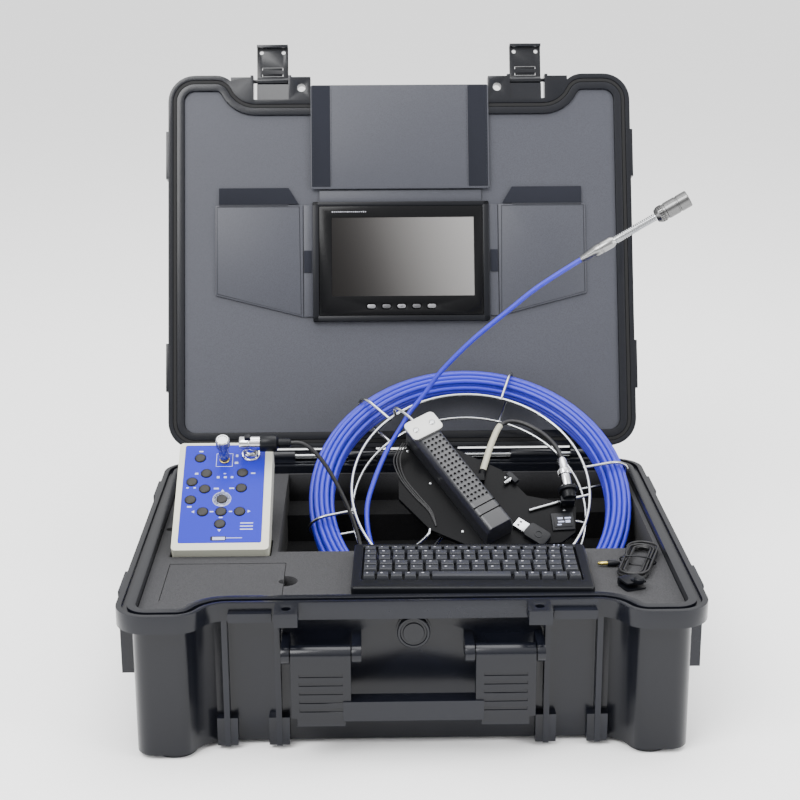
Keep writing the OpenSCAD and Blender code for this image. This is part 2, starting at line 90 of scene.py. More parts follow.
@dataclass(frozen=True)
class Place:
    """A local frame: millimetres in, metres in the row frame out."""

    matrix: Matrix

    @classmethod
    def at(cls, origin: Point, x: Point = (1, 0, 0), y: Point = (0, 1, 0)) -> "Place":
        """Make a place from its origin in the case's millimetres and two axes.

        Args:
            origin: x, y, z in the case's own millimetres.
            x: direction of the local X axis.
            y: direction of the local Y axis.
        Returns:
            The place.
        """
        ax, ay = Vector(x).normalized(), Vector(y).normalized()
        az = ax.cross(ay)
        rows = Matrix((ax, ay, az)).transposed().to_4x4()
        shift = Matrix.Translation((origin[0], origin[1] - Y_MID, origin[2]))
        return cls(Matrix.Scale(MM, 4) @ shift @ rows)

    def then(self, local: Matrix) -> "Place":
        """A place inside this one."""
        return Place(self.matrix @ local)

    def point(self, p: Point) -> Vector:
        """A local point in metres in the row frame."""
        return self.matrix @ Vector(p)


def swung(y: float, z: float) -> Tuple[float, float]:
    """Carry a point of the shut lid to where the open lid holds it.

    Args:
        y: depth in millimetres.
        z: height in millimetres.
    Returns:
        Depth and height with the lid open.
    """
    a = math.radians(-LID_OPEN)
    dy, dz = y - HINGE[0], z - HINGE[1]
    return (HINGE[0] + dy * math.cos(a) - dz * math.sin(a),
            HINGE[1] + dy * math.sin(a) + dz * math.cos(a))


def tilt(angle: float) -> Tuple[Point, Point]:
    """X and Y axes turned about X by an angle in degrees."""
    a = math.radians(angle)
    return (1, 0, 0), (0, math.cos(a), math.sin(a))


CASE = Place.at((0, 0, 0))
LID = Place.at((0, *swung(0, 0)), *tilt(-LID_OPEN))
FACE = Place.at((0, *swung(REAR, RIM)), *tilt(180 - LID_OPEN))
BOX = Place.at((-174.5, -53, RIM), *tilt(32))
REEL = Place.at((65, 96, 132), *tilt(36))
GRIP = REEL.then(Matrix.Translation((-46, 58, 18))
                 @ Matrix.Rotation(math.radians(180 + 31.312), 4, "Z"))
KEYS = CASE.then(Matrix.Translation((54, -104, 131))
                 @ Matrix.Rotation(math.radians(-1.5), 4, "Z"))


def aim(a: Point, b: Point) -> Matrix:
    """Matrix that moves +Z to start at a and point at b."""
    d = Vector(b) - Vector(a)
    return Matrix.Translation(a) @ d.to_track_quat("Z", "Y").to_matrix().to_4x4()


def spin(degrees: float, axis: str = "Z") -> Matrix:
    """Rotation about an axis in degrees."""
    return Matrix.Rotation(math.radians(degrees), 4, axis)


def shift(x: float, y: float, z: float) -> Matrix:
    """Translation matrix."""
    return Matrix.Translation((x, y, z))


# ---------------------------------------------------------------- finishes


class Grain(Enum):
    """Kinds of fine surface relief."""

    MOULDED = "moulded"
    LEATHER = "leather"
    FOAM = "foam"
    BRUSHED = "brushed"
    FUZZ = "fuzz"
    SMOOTH = "smooth"


@dataclass(frozen=True)
class Finish:
    """One surface finish and the shader that draws it."""

    name: str
    slot: str
    colour: Colour
    roughness: float
    grain: Grain = Grain.SMOOTH
    size: float = 1.0
    relief: float = 0.05
    mottle: float = 0.12
    metallic: float = 0.0
    coat: float = 0.0
    sheen: float = 0.0
    wear: float = 0.0
    dust: float = 0.0
    clear: float = 0.0
    specular: float = 0.5
    # Heights in metres over which the finish fades into painted shade below, for a deep recess.
    recess_shade_heights: Tuple[float, float] = (0.0, 0.0)

    def material(self) -> bpy.types.Material:
        """Build the material once and return it.

        Returns:
            The material.
        """
        title = self.name + "_finish"
        made = bpy.data.materials.get(title)
        if made:
            return made
        made = bpy.data.materials.new(title)
        made.use_nodes = True
        tree = made.node_tree
        shader = tree.nodes["Principled BSDF"]
        where = tree.nodes.new("ShaderNodeTexCoord").outputs["Object"]
        fine = self._texture(tree, where)
        broad = self._noise(tree, where, 0.03 / MM / 10, 3)
        tone = self._mix(tree, self._shade(1 - self.mottle), self._shade(1 + self.mottle))
        self._curve(tree, broad, tone.inputs["Factor"], 0.3, 0.7)
        colour = tone.outputs["Result"]
        if self.grain in (Grain.FOAM, Grain.FUZZ, Grain.LEATHER):
            pits = self._mix(tree, self._shade(0.62), None)
            tree.links.new(colour, pits.inputs["B"])
            self._curve(tree, fine, pits.inputs["Factor"], 0.15, 0.55)
            colour = pits.outputs["Result"]
        if self.wear:
            colour = self._worn(tree, colour, broad)
        if self.dust:
            colour = self._dusted(tree, where, colour)
        # Painted shade: the finish is darkened below a height, inside deep recesses.
        if self.recess_shade_heights[1]:
            colour = self._recess_shade(tree, where, colour)
        tree.links.new(colour, shader.inputs["Base Color"])
        rough = tree.nodes.new("ShaderNodeMapRange")
        tree.links.new(fine, rough.inputs["Value"])
        rough.inputs["To Min"].default_value = max(0.02, self.roughness - 0.07)
        rough.inputs["To Max"].default_value = min(1.0, self.roughness + 0.07)
        tree.links.new(rough.outputs["Result"], shader.inputs["Roughness"])
        shader.inputs["Metallic"].default_value = self.metallic
        shader.inputs["Coat Weight"].default_value = self.coat
        shader.inputs["Coat Roughness"].default_value = 0.12
        shader.inputs["Sheen Weight"].default_value = self.sheen
        shader.inputs["Specular IOR Level"].default_value = self.specular
        shader.inputs["Transmission Weight"].default_value = self.clear
        if self.relief:
            bump = tree.nodes.new("ShaderNodeBump")
            bump.inputs["Strength"].default_value = 0.6
            bump.inputs["Distance"].default_value = self.relief * MM
            tree.links.new(fine, bump.inputs["Height"])
            tree.links.new(bump.outputs["Normal"], shader.inputs["Normal"])
        made.diffuse_color = (*self.colour, 1.0)
        return made

    def _shade(self, factor: float) -> Shade:
        """The finish colour scaled, with an opaque alpha."""
        return tuple(min(1.0, c * factor) for c in self.colour) + (1.0,)

    @staticmethod
    def _noise(tree: bpy.types.NodeTree, where: bpy.types.NodeSocket, scale: float,
               detail: float) -> bpy.types.NodeSocket:
        """A noise texture and its value.

        Args:
            tree: the material's nodes.
            where: coordinates.
            scale: features per metre.
            detail: octaves.
        Returns:
            The noise value.
        """
        node = tree.nodes.new("ShaderNodeTexNoise")
        node.inputs["Scale"].default_value = scale
        node.inputs["Detail"].default_value = detail
        tree.links.new(where, node.inputs["Vector"])
        return node.outputs["Fac"]

    @staticmethod
    def _mix(tree: bpy.types.NodeTree, a: Optional[Shade], b: Optional[Shade]) -> "_Rgba":
        """A colour mix with optional fixed ends.

        Args:
            tree: the material's nodes.
            a: colour at factor 0.
            b: colour at factor 1.
        Returns:
            The mix node by socket names.
        """
        node = tree.nodes.new("ShaderNodeMix")
        node.data_type = "RGBA"
        for key, value in (("A", a), ("B", b)):
            if value is not None:
                [s for s in node.inputs if s.name == key and s.type == "RGBA"][0].default_value = value
        return _Rgba(node)

    @staticmethod
    def _curve(tree: bpy.types.NodeTree, value: bpy.types.NodeSocket, target: bpy.types.NodeSocket,
               low: float, high: float) -> None:
        """Link a value to a socket through a linear range.

        Args:
            tree: the material's nodes.
            value: the source.
            target: the socket to feed.
            low: value that gives 0.
            high: value that gives 1.
        """
        node = tree.nodes.new("ShaderNodeMapRange")
        node.inputs["From Min"].default_value = low
        node.inputs["From Max"].default_value = high
        tree.links.new(value, node.inputs["Value"])
        tree.links.new(node.outputs["Result"], target)

    def _texture(self, tree: bpy.types.NodeTree, where: bpy.types.NodeSocket) -> bpy.types.NodeSocket:
        """The fine texture of the grain.

        Args:
            tree: the material's nodes.
            where: coordinates.
        Returns:
            The texture value.
        """
        scale = 1.0 / (self.size * MM)
        if self.grain is Grain.BRUSHED:
            mapping = tree.nodes.new("ShaderNodeMapping")
            mapping.inputs["Scale"].default_value = (0.06, 1.0, 1.0)
            tree.links.new(where, mapping.inputs["Vector"])
            return self._noise(tree, mapping.outputs["Vector"], scale, 5)
        if self.grain in (Grain.LEATHER, Grain.FOAM):
            node = tree.nodes.new("ShaderNodeTexVoronoi")
            node.inputs["Scale"].default_value = scale
            node.inputs["Randomness"].default_value = 1.0
            tree.links.new(where, node.inputs["Vector"])
            return node.outputs["Distance"]
        return self._noise(tree, where, scale, 4 if self.grain is Grain.SMOOTH else 8)

    def _worn(self, tree: bpy.types.NodeTree, colour: bpy.types.NodeSocket,
              broad: bpy.types.NodeSocket) -> bpy.types.NodeSocket:
        """Pale rubbed edges in broad patches.

        Args:
            tree: the material's nodes.
            colour: the colour so far.
            broad: the patch value.
        Returns:
            The worn colour.
        """
        point = tree.nodes.new("ShaderNodeNewGeometry").outputs["Pointiness"]
        edge = tree.nodes.new("ShaderNodeMapRange")
        edge.inputs["From Min"].default_value = 0.52
        edge.inputs["From Max"].default_value = 0.60
        edge.inputs["To Max"].default_value = self.wear
        tree.links.new(point, edge.inputs["Value"])
        patch = tree.nodes.new("ShaderNodeMath")
        patch.operation = "MULTIPLY"
        tree.links.new(edge.outputs["Result"], patch.inputs[0])
        tree.links.new(broad, patch.inputs[1])
        mixed = self._mix(tree, None, self._shade(3.2))
        tree.links.new(colour, mixed.inputs["A"])
        tree.links.new(patch.outputs[0], mixed.inputs["Factor"])
        return mixed.outputs["Result"]

    def _dusted(self, tree: bpy.types.NodeTree, where: bpy.types.NodeSocket,
                colour: bpy.types.NodeSocket) -> bpy.types.NodeSocket:
        """Thin dust in scattered spots.

        Args:
            tree: the material's nodes.
            where: coordinates.
            colour: the colour so far.
        Returns:
            The dusted colour.
        """
        spots = self._noise(tree, where, 1 / (7 * MM), 9)
        mixed = self._mix(tree, None, (0.42, 0.42, 0.42, 1.0))
        tree.links.new(colour, mixed.inputs["A"])
        limit = tree.nodes.new("ShaderNodeMapRange")
        limit.inputs["From Min"].default_value = 0.56
        limit.inputs["From Max"].default_value = 0.8
        limit.inputs["To Max"].default_value = self.dust
        tree.links.new(spots, limit.inputs["Value"])
        tree.links.new(limit.outputs["Result"], mixed.inputs["Factor"])
        return mixed.outputs["Result"]

    def _recess_shade(self, tree: bpy.types.NodeTree, where: bpy.types.NodeSocket,
                colour: bpy.types.NodeSocket) -> bpy.types.NodeSocket:
        """Painted shade: darken the finish below a height, where a deep recess lies in shadow.

        Args:
            tree: the material's nodes.
            where: coordinates.
            colour: the colour so far.
        Returns:
            The darkened colour.
        """
        parts = tree.nodes.new("ShaderNodeSeparateXYZ")
        tree.links.new(where, parts.inputs[0])
        mixed = self._mix(tree, self._shade(0.14), None)
        tree.links.new(colour, mixed.inputs["B"])
        self._curve(tree, parts.outputs["Z"], mixed.inputs["Factor"], *self.recess_shade_heights)
        return mixed.outputs["Result"]


class _Rgba:
    """The colour sockets of a mix node by name."""

    def __init__(self, node: bpy.types.Node) -> None:
        """Pick the colour sockets of a mix node."""
        pick = {s.name: s for s in node.inputs if s.type == "RGBA"}
        pick["Factor"] = [s for s in node.inputs if s.name == "Factor" and s.type == "VALUE"][0]
        self.inputs = pick
        self.outputs = {"Result": [s for s in node.outputs if s.type == "RGBA"][0]}


class Palette:
    case = Finish("case_plastic", "case_plastic", (0.0030, 0.0035, 0.0058), 0.24, Grain.MOULDED, 0.55, 0.02,
                  0.12, wear=0.8, dust=0.004, specular=0.30)
    tab = Finish("latch_plastic", "black_plastic", (0.0034, 0.0039, 0.0058), 0.26, Grain.MOULDED, 0.5,
                 0.02, 0.10, wear=0.8, specular=0.32)
    black = Finish("black_plastic", "black_plastic", (0.0032, 0.0036, 0.0050), 0.34, Grain.MOULDED, 0.45,
                   0.02, 0.10, wear=0.4, specular=0.16)
    gloss = Finish("black_gloss", "black_plastic", (0.0022, 0.0023, 0.0028), 0.20, Grain.SMOOTH, 3.0, 0.004,
                   0.08, specular=0.14)
    gasket = Finish("gasket", "gasket_rubber", (0.0055, 0.0055, 0.006), 0.6, Grain.SMOOTH, 1.0, 0.03,
                    specular=0.2)
    # The foam is darkened in its deep recess by painted shade.
    foam = Finish("foam", "foam", (0.0430, 0.0430, 0.0455), 0.95, Grain.FOAM, 1.1, 0.35, 0.16, sheen=0.03,
                  specular=0.06, recess_shade_heights=(0.108, 0.129))
    panel = Finish("panel", "panel_cloth", (0.0400, 0.0420, 0.0530), 0.46, Grain.LEATHER, 0.9, 0.05, 0.06,
                   specular=0.30)
    flap = Finish("flap", "panel_cloth", (0.0385, 0.0405, 0.0510), 0.42, Grain.LEATHER, 0.8, 0.05, 0.06,
                  specular=0.30)
    hook_tape = Finish("hook_tape", "panel_cloth", (0.0130, 0.0142, 0.0200), 0.9, Grain.FUZZ, 0.5, 0.5, 0.2,
                    sheen=0.06, specular=0.1)
    thread = Finish("thread", "panel_cloth", (0.018, 0.019, 0.024), 0.7, Grain.FUZZ, 0.3, 0.1, specular=0.2)
    steel = Finish("steel", "steel", (0.42, 0.43, 0.44), 0.24, Grain.BRUSHED, 0.35, 0.008, 0.05, 1.0)
    turned = Finish("turned_steel", "steel", (0.145, 0.145, 0.145), 0.28, Grain.BRUSHED, 0.3, 0.015,
                    0.06, 1.0)
    ferrule = Finish("ferrule_steel", "steel", (0.27, 0.27, 0.27), 0.28, Grain.BRUSHED, 0.3, 0.015, 0.06, 1.0)
    chrome = Finish("chrome", "chrome", (0.62, 0.62, 0.63), 0.12, Grain.SMOOTH, 2.0, 0.002, 0.03, 1.0)
    alu = Finish("aluminium", "aluminium", (0.42, 0.42, 0.41), 0.42, Grain.MOULDED, 0.7, 0.06, 0.16, 0.75)
    brass = Finish("brass", "steel", (0.52, 0.42, 0.11), 0.28, Grain.SMOOTH, 1.0, 0.01, 0.06, 1.0)
    silver = Finish("silver_paint", "silver_plastic", (0.17, 0.17, 0.18), 0.32, Grain.SMOOTH, 0.5,
                    0.01, 0.04, 0.5)
    silver_dark = Finish("silver_dark", "silver_plastic", (0.07, 0.07, 0.075), 0.35, Grain.SMOOTH, 0.5, 0.01,
                         0.04, 0.5)
    cream = Finish("cream_plastic", "cream_plastic", (0.50, 0.50, 0.42), 0.42, Grain.MOULDED, 0.6, 0.02,
                   0.025, dust=0.02, specular=0.35)
    overlay = Finish("blue_overlay", "blue_overlay", (0.0120, 0.0150, 0.34), 0.40, Grain.MOULDED, 0.5, 0.012,
                     0.05, specular=0.12)
    print = Finish("white_print", "cream_plastic", (0.34, 0.37, 0.52), 0.45, Grain.SMOOTH, 1.0, 0.0, 0.05)
    legend = Finish("key_print", "silver_plastic", (0.34, 0.34, 0.38), 0.5, Grain.SMOOTH, 0.8, 0.0, 0.25)
    key = Finish("key_rubber", "key_rubber", (0.0125, 0.0115, 0.0105), 0.50, Grain.MOULDED, 0.5, 0.03, 0.14,
                 specular=0.3)
    cap = Finish("key_cap", "black_plastic", (0.0200, 0.0212, 0.0260), 0.36, Grain.MOULDED, 0.4, 0.02, 0.12,
                 specular=0.4)
    grip = Finish("grip_rubber", "grip_rubber", (0.0120, 0.0125, 0.0150), 0.36, Grain.MOULDED, 0.5, 0.04,
                  0.12, wear=0.6, specular=0.5)
    hub = Finish("hub_plate", "black_plastic", (0.0024, 0.0025, 0.0030), 0.38, Grain.MOULDED, 0.45, 0.02,
                 0.10, wear=0.6, specular=0.07)
    # Near-black painted shade for the insides of dimples, grooves, slots and holes.
    painted_pit_shade = Finish("pit_shade", "grip_rubber", (0.0015, 0.0015, 0.0015), 0.8, Grain.SMOOTH, 1.0, 0.0, specular=0.05)
    rod = Finish("rod_jacket", "blue_rod", (0.026, 0.026, 0.40), 0.32, Grain.SMOOTH, 2.0, 0.01, 0.07,
                 specular=0.32)
    cord = Finish("cord_jacket", "cord_rubber", (0.0075, 0.0075, 0.0085), 0.42, Grain.SMOOTH, 0.8, 0.01,
                  specular=0.35)
    sleeve = Finish("cream_sleeve", "cream_plastic", (0.36, 0.35, 0.27), 0.5, Grain.SMOOTH, 0.8, 0.02)
    glass = Finish("clear_window", "clear_window", (0.55, 0.62, 0.65), 0.05, Grain.SMOOTH, 3.0, 0.0, 0.02,
                   clear=0.6)


def screen_with_painted_reflection() -> bpy.types.Material:
    """The picture's dark face, with a painted reflection that makes it paler towards its right side.

    Returns:
        The material.
    """
    made = bpy.data.materials.new("display_painted_reflection")
    made.use_nodes = True
    tree = made.node_tree
    shader = tree.nodes["Principled BSDF"]
    where = tree.nodes.new("ShaderNodeTexCoord").outputs["Object"]
    parts = tree.nodes.new("ShaderNodeSeparateXYZ")
    tree.links.new(where, parts.inputs[0])
    slope = tree.nodes.new("ShaderNodeMath")
    slope.operation = "MULTIPLY_ADD"
    slope.inputs[1].default_value = 0.28
    tree.links.new(parts.outputs["Z"], slope.inputs[0])
    tree.links.new(parts.outputs["X"], slope.inputs[2])
    span = tree.nodes.new("ShaderNodeMapRange")
    span.inputs["From Min"].default_value = 0.0
    span.inputs["From Max"].default_value = 0.19
    tree.links.new(slope.outputs[0], span.inputs["Value"])
    # Painted reflection: the colour runs from near black to pale grey across the glass.
    ramp = tree.nodes.new("ShaderNodeValToRGB")
    ramp.color_ramp.interpolation = "B_SPLINE"
    ramp.color_ramp.elements[0].position = 0.0
    ramp.color_ramp.elements[0].color = (0.0020, 0.0017, 0.0016, 1)
    ramp.color_ramp.elements[1].position = 1.0
    ramp.color_ramp.elements[1].color = (0.23, 0.225, 0.22, 1)
    middle = ramp.color_ramp.elements.new(0.45)
    middle.color = (0.019, 0.0175, 0.017, 1)
    tree.links.new(span.outputs["Result"], ramp.inputs["Fac"])
    tree.links.new(ramp.outputs["Color"], shader.inputs["Base Color"])
    shader.inputs["Roughness"].default_value = 0.30
    shader.inputs["Specular IOR Level"].default_value = 0.08
    return made


# ---------------------------------------------------------------- mesh tools


class Sculpt:
    """Collects solids in local millimetres and turns them into one piece."""

    def __init__(self) -> None:
        """Start with nothing collected."""
        self.bm = bmesh.new()

    def _take(self, other: bmesh.types.BMesh, local: Optional[Matrix]) -> "Sculpt":
        """Merge a finished solid.

        Args:
            other: the solid, which is freed.
            local: where it goes.
        Returns:
            This collection.
        """
        if local is not None:
            other.transform(local)
        mesh = bpy.data.meshes.new("part")
        other.to_mesh(mesh)
        other.free()
        self.bm.from_mesh(mesh)
        bpy.data.meshes.remove(mesh)
        return self

    @staticmethod
    def _soften(bm: bmesh.types.BMesh, width: float, segments: int, least: float = 0.6) -> None:
        """Bevel the sharp edges.

        Args:
            bm: the solid.
            width: bevel width in millimetres.
            segments: steps across it.
            least: the smallest angle in radians that is bevelled.
        """
        edges = [e for e in bm.edges if e.is_manifold and e.calc_face_angle(0) > least]
        if width and edges:
            bmesh.ops.bevel(bm, geom=edges, offset=width, segments=segments, profile=0.6,
                            affect="EDGES", clamp_overlap=True)

    def box(self, low: Point, high: Point, soft: float = 0.0, local: Optional[Matrix] = None,
            segments: int = 2) -> "Sculpt":
        """Add a block with rounded edges.

        Args:
            low: least corner.
            high: greatest corner.
            soft: edge radius.
            local: where it goes.
            segments: steps across an edge.
        Returns:
            This collection.
        """
        bm = bmesh.new()
        size = [h - l for l, h in zip(low, high)]
        mid = [(h + l) / 2 for l, h in zip(low, high)]
        bmesh.ops.create_cube(bm, size=1.0, matrix=shift(*mid) @ Matrix.Diagonal((*size, 1)))
        self._soften(bm, soft, segments)
        return self._take(bm, local)

    def prism(self, outline: Sequence[Point], z0: float, z1: float, soft: float = 0.0,
              local: Optional[Matrix] = None, least: float = 0.6) -> "Sculpt":
        """Add an extruded outline with rounded edges.

        Args:
            outline: points of the section.
            z0: lower height.
            z1: upper height.
            soft: edge radius.
            local: where it goes.
            least: smallest angle that is bevelled.
        Returns:
            This collection.
        """
        bm = bmesh.new()
        face = bm.faces.new([bm.verts.new((p[0], p[1], z0)) for p in outline])
        bmesh.ops.recalc_face_normals(bm, faces=[face])
        if face.normal.z > 0:
            face.normal_flip()
        top = bmesh.ops.extrude_face_region(bm, geom=[face])["geom"]
        bmesh.ops.translate(bm, vec=(0, 0, z1 - z0),
                            verts=[g for g in top if isinstance(g, bmesh.types.BMVert)])
        bmesh.ops.recalc_face_normals(bm, faces=bm.faces)
        self._soften(bm, soft, 2, least)
        return self._take(bm, local)

    def lathe(self, profile: Sequence[Point], local: Optional[Matrix] = None,
              sides: int = 40) -> "Sculpt":
        """Add a turned solid from radius and height pairs along +Z.

        Args:
            profile: radius and height pairs.
            local: where it goes.
            sides: steps round.
        Returns:
            This collection.
        """
        bm = bmesh.new()
        rings = []
        for r, z in profile:
            if r <= 0:
                rings.append([bm.verts.new((0, 0, z))])
            else:
                rings.append([bm.verts.new((r * math.cos(math.tau * k / sides),
                                            r * math.sin(math.tau * k / sides), z))
                              for k in range(sides)])
        for a, b in zip(rings, rings[1:]):
            for k in range(sides):
                j = (k + 1) % sides
                if len(a) == 1 and len(b) > 1:
                    bm.faces.new((a[0], b[j], b[k]))
                elif len(b) == 1 and len(a) > 1:
                    bm.faces.new((a[k], a[j], b[0]))
                elif len(a) > 1:
                    bm.faces.new((a[k], a[j], b[j], b[k]))
        for end in (rings[0], rings[-1]):
            if len(end) > 1 and rings[0] is not rings[-1]:
                bm.faces.new(end)
        bmesh.ops.recalc_face_normals(bm, faces=bm.faces)
        return self._take(bm, local)

    def tube(self, path: Sequence[Point], radius: float, sides: int = 12, closed: bool = False,
             local: Optional[Matrix] = None) -> "Sculpt":
        """Add a round tube swept along a path.

        Args:
            path: points in millimetres.
            radius: in millimetres.
            sides: steps round.
            closed: whether the ends join.
            local: where it goes.
        Returns:
            This collection.
        """
        bm = bmesh.new()
        pts = [Vector(p) for p in path]
        n = len(pts)
        rings: List[List[bmesh.types.BMVert]] = []
        normal: Optional[Vector] = None
        for k, p in enumerate(pts):
            ahead = pts[(k + 1) % n] if closed else pts[min(k + 1, n - 1)]
            behind = pts[k - 1] if (closed or k) else pts[0]
            t = (ahead - behind).normalized()
            if normal is None:
                normal = t.orthogonal().normalized()
            normal = (normal - t * normal.dot(t)).normalized()
            side = t.cross(normal)
            rings.append([bm.verts.new(p + radius * (math.cos(math.tau * s / sides) * normal
                                                     + math.sin(math.tau * s / sides) * side))
                          for s in range(sides)])
        for k in range(n if closed else n - 1):
            a, b = rings[k], rings[(k + 1) % n]
            for s in range(sides):
                j = (s + 1) % sides
                bm.faces.new((a[s], a[j], b[j], b[s]))
        if not closed:
            bm.faces.new(rings[0])
            bm.faces.new(rings[-1])
        bmesh.ops.recalc_face_normals(bm, faces=bm.faces)
        return self._take(bm, local)

    def piece(self, name: str, place: Place, body: str, finish: Finish,
              replaces: Sequence[str] = (), smooth: float = 38) -> bpy.types.Object:
        """Turn what was collected into an object that rides on a body.

        Args:
            name: the piece's name.
            place: the frame of the collected solids.
            body: the body that carries it.
            finish: its surface finish.
            replaces: frame nodes that it stands for.
            smooth: edges sharper than this angle stay crisp.
        Returns:
            The finished object.
        """
        self.bm.transform(place.matrix)
        bmesh.ops.recalc_face_normals(self.bm, faces=self.bm.faces)
        mesh = bpy.data.meshes.new(name)
        self.bm.to_mesh(mesh)
        self.bm.free()
        return dress(mesh, name, body, finish, replaces, smooth)


def dress(mesh: bpy.types.Mesh, name: str, body: str, finish: Finish,
          replaces: Sequence[str] = (), smooth: float = 38) -> bpy.types.Object:
    """Link a mesh as a finished piece.

    Args:
        mesh: the mesh.
        name: the piece's name.
        body: the body that carries it.
        finish: its finish.
        replaces: frame nodes it stands for.
        smooth: whether it is smooth shaded.
    Returns:
        The linked object.
    """
    mesh.materials.clear()
    mesh.materials.append(finish.material())
    mesh.shade_smooth()
    mesh.set_sharp_from_angle(angle=math.radians(smooth))
    obj = bpy.data.objects.new(name, mesh)
    bpy.context.scene.collection.objects.link(obj)
    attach(obj, body)
    if replaces:
        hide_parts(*replaces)
    log.info("%s: %d faces on %s", name, len(mesh.polygons), body)
    return obj


def refined(node: str, body: str, finish: Finish, width: float, segments: int = 2,
            least: float = 28.0) -> bpy.types.Object:
    """Replace a frame node with the same shape with its edges rounded.

    Args:
        node: the frame node.
        body: its body.
        finish: its surface finish.
        width: the rounding in millimetres.
        segments: steps across each rounding.
        least: the smallest angle in degrees that is rounded.
    Returns:
        The new piece.
    """
    bm = bmesh.new()
    bm.from_mesh(NODES[node].data)
    bmesh.ops.remove_doubles(bm, verts=bm.verts, dist=0.01 * MM)
    bmesh.ops.dissolve_limit(bm, angle_limit=math.radians(0.6), verts=bm.verts, edges=bm.edges)
    edges = [e for e in bm.edges if e.is_manifold and e.calc_face_angle(0) > math.radians(least)]
    bmesh.ops.bevel(bm, geom=edges, offset=width * MM, segments=segments, profile=0.65,
                    affect="EDGES", clamp_overlap=True, loop_slide=True)
    bmesh.ops.triangulate(bm, faces=[f for f in bm.faces if len(f.verts) > 4])
    mesh = bpy.data.meshes.new(node + "_shell")
    bm.to_mesh(mesh)
    bm.free()
    return dress(mesh, node + "_shell", body, finish, (node,), 32)


NODES: dict = {}


def paint(finish: Finish, *nodes: str) -> None:
    """Give frame nodes a finish.

    Args:
        finish: the finish.
        *nodes: the nodes.
    """
    for node in nodes:
        mesh = NODES[node].data
        mesh.materials.clear()
        mesh.materials.append(finish.material())


class Repeater:
    """Copies a small template onto many points with geometry nodes."""

    def __init__(self) -> None:
        """Build the node tree once."""
        tree = bpy.data.node_groups.new("repeat", "GeometryNodeTree")
        face = tree.interface
        face.new_socket("Points", in_out="INPUT", socket_type="NodeSocketGeometry")
        self.template = face.new_socket("Template", in_out="INPUT", socket_type="NodeSocketObject").identifier
        self.finish = face.new_socket("Finish", in_out="INPUT", socket_type="NodeSocketMaterial").identifier
        face.new_socket("Copies", in_out="OUTPUT", socket_type="NodeSocketGeometry")
        new, link = tree.nodes.new, tree.links.new
        source, sink = new("NodeGroupInput"), new("NodeGroupOutput")
        info, place = new("GeometryNodeObjectInfo"), new("GeometryNodeInstanceOnPoints")
        turn, size = new("GeometryNodeInputNamedAttribute"), new("GeometryNodeInputNamedAttribute")
        for node, key in ((turn, "turn"), (size, "size")):
            node.data_type = "FLOAT_VECTOR"
            node.inputs["Name"].default_value = key
        euler = new("FunctionNodeEulerToRotation")
        real, skin = new("GeometryNodeRealizeInstances"), new("GeometryNodeSetMaterial")
        link(source.outputs["Points"], place.inputs["Points"])
        link(source.outputs["Template"], info.inputs["Object"])
        link(info.outputs["Geometry"], place.inputs["Instance"])
        link(turn.outputs["Attribute"], euler.inputs[0])
        link(euler.outputs[0], place.inputs["Rotation"])
        link(size.outputs["Attribute"], place.inputs["Scale"])
        link(place.outputs["Instances"], real.inputs["Geometry"])
        link(real.outputs["Geometry"], skin.inputs["Geometry"])
        link(source.outputs["Finish"], skin.inputs["Material"])
        link(skin.outputs["Geometry"], sink.inputs["Copies"])
        self.tree = tree

    def copies(self, name: str, template: Sculpt, spots: Sequence[Matrix], place: Place, body: str,
               finish: Finish, sizes: Optional[Sequence[Point]] = None) -> bpy.types.Object:
        """Copy a template to every spot.

        Args:
            name: the new piece's name.
            template: the solid to copy, in local millimetres.
            spots: where each copy goes, in local millimetres.
            place: the frame of the spots.
            body: the body that carries the copies.
            finish: their finish.
            sizes: the scale of each copy.
        Returns:
            One piece that holds all the copies.
        """
        shape = bpy.data.meshes.new("template")
        template.bm.to_mesh(shape)
        template.bm.free()
        shape.shade_smooth()
        shape.set_sharp_from_angle(angle=math.radians(35))
        model = bpy.data.objects.new("template", shape)
        points = bpy.data.meshes.new("points")
        points.from_pydata([m.translation[:] for m in spots], [], [])
        turn = points.attributes.new("turn", "FLOAT_VECTOR", "POINT")
        size = points.attributes.new("size", "FLOAT_VECTOR", "POINT")
        for k, m in enumerate(spots):
            turn.data[k].vector = m.to_euler()[:]
            size.data[k].vector = sizes[k] if sizes else (1, 1, 1)
        holder = bpy.data.objects.new("holder", points)
        for o in (model, holder):
            bpy.context.scene.collection.objects.link(o)
        mod = holder.modifiers.new("repeat", "NODES")
        mod.node_group = self.tree
        mod[self.template] = model
        mod[self.finish] = finish.material()
        bpy.context.view_layer.update()
        graph = bpy.context.evaluated_depsgraph_get()
        mesh = bpy.data.meshes.new_from_object(holder.evaluated_get(graph), depsgraph=graph)
        mesh.transform(place.matrix)
        mesh.name = name
        for o in (holder, model):
            bpy.data.objects.remove(o)
        return dress(mesh, name, body, finish, (), 35)


REPEAT: Optional[Repeater] = None


def smooth_path(points: Sequence[Point], steps: int) -> List[Vector]:
    """Catmull-Rom points through a route.

    Args:
        points: the route.
        steps: points per span.
    Returns:
        The points.
    """
    pts = [Vector(p) for p in points]
    out: List[Vector] = []
    for k in range(len(pts) - 1):
        a, b = pts[max(k - 1, 0)], pts[k]
        c, d = pts[k + 1], pts[min(k + 2, len(pts) - 1)]
        for m in range(steps):
            t = m / steps
            out.append(0.5 * (2 * b + (c - a) * t + (2 * a - 5 * b + 4 * c - d) * t * t
                              + (3 * b - a - 3 * c + d) * t ** 3))
    return out + [pts[-1]]


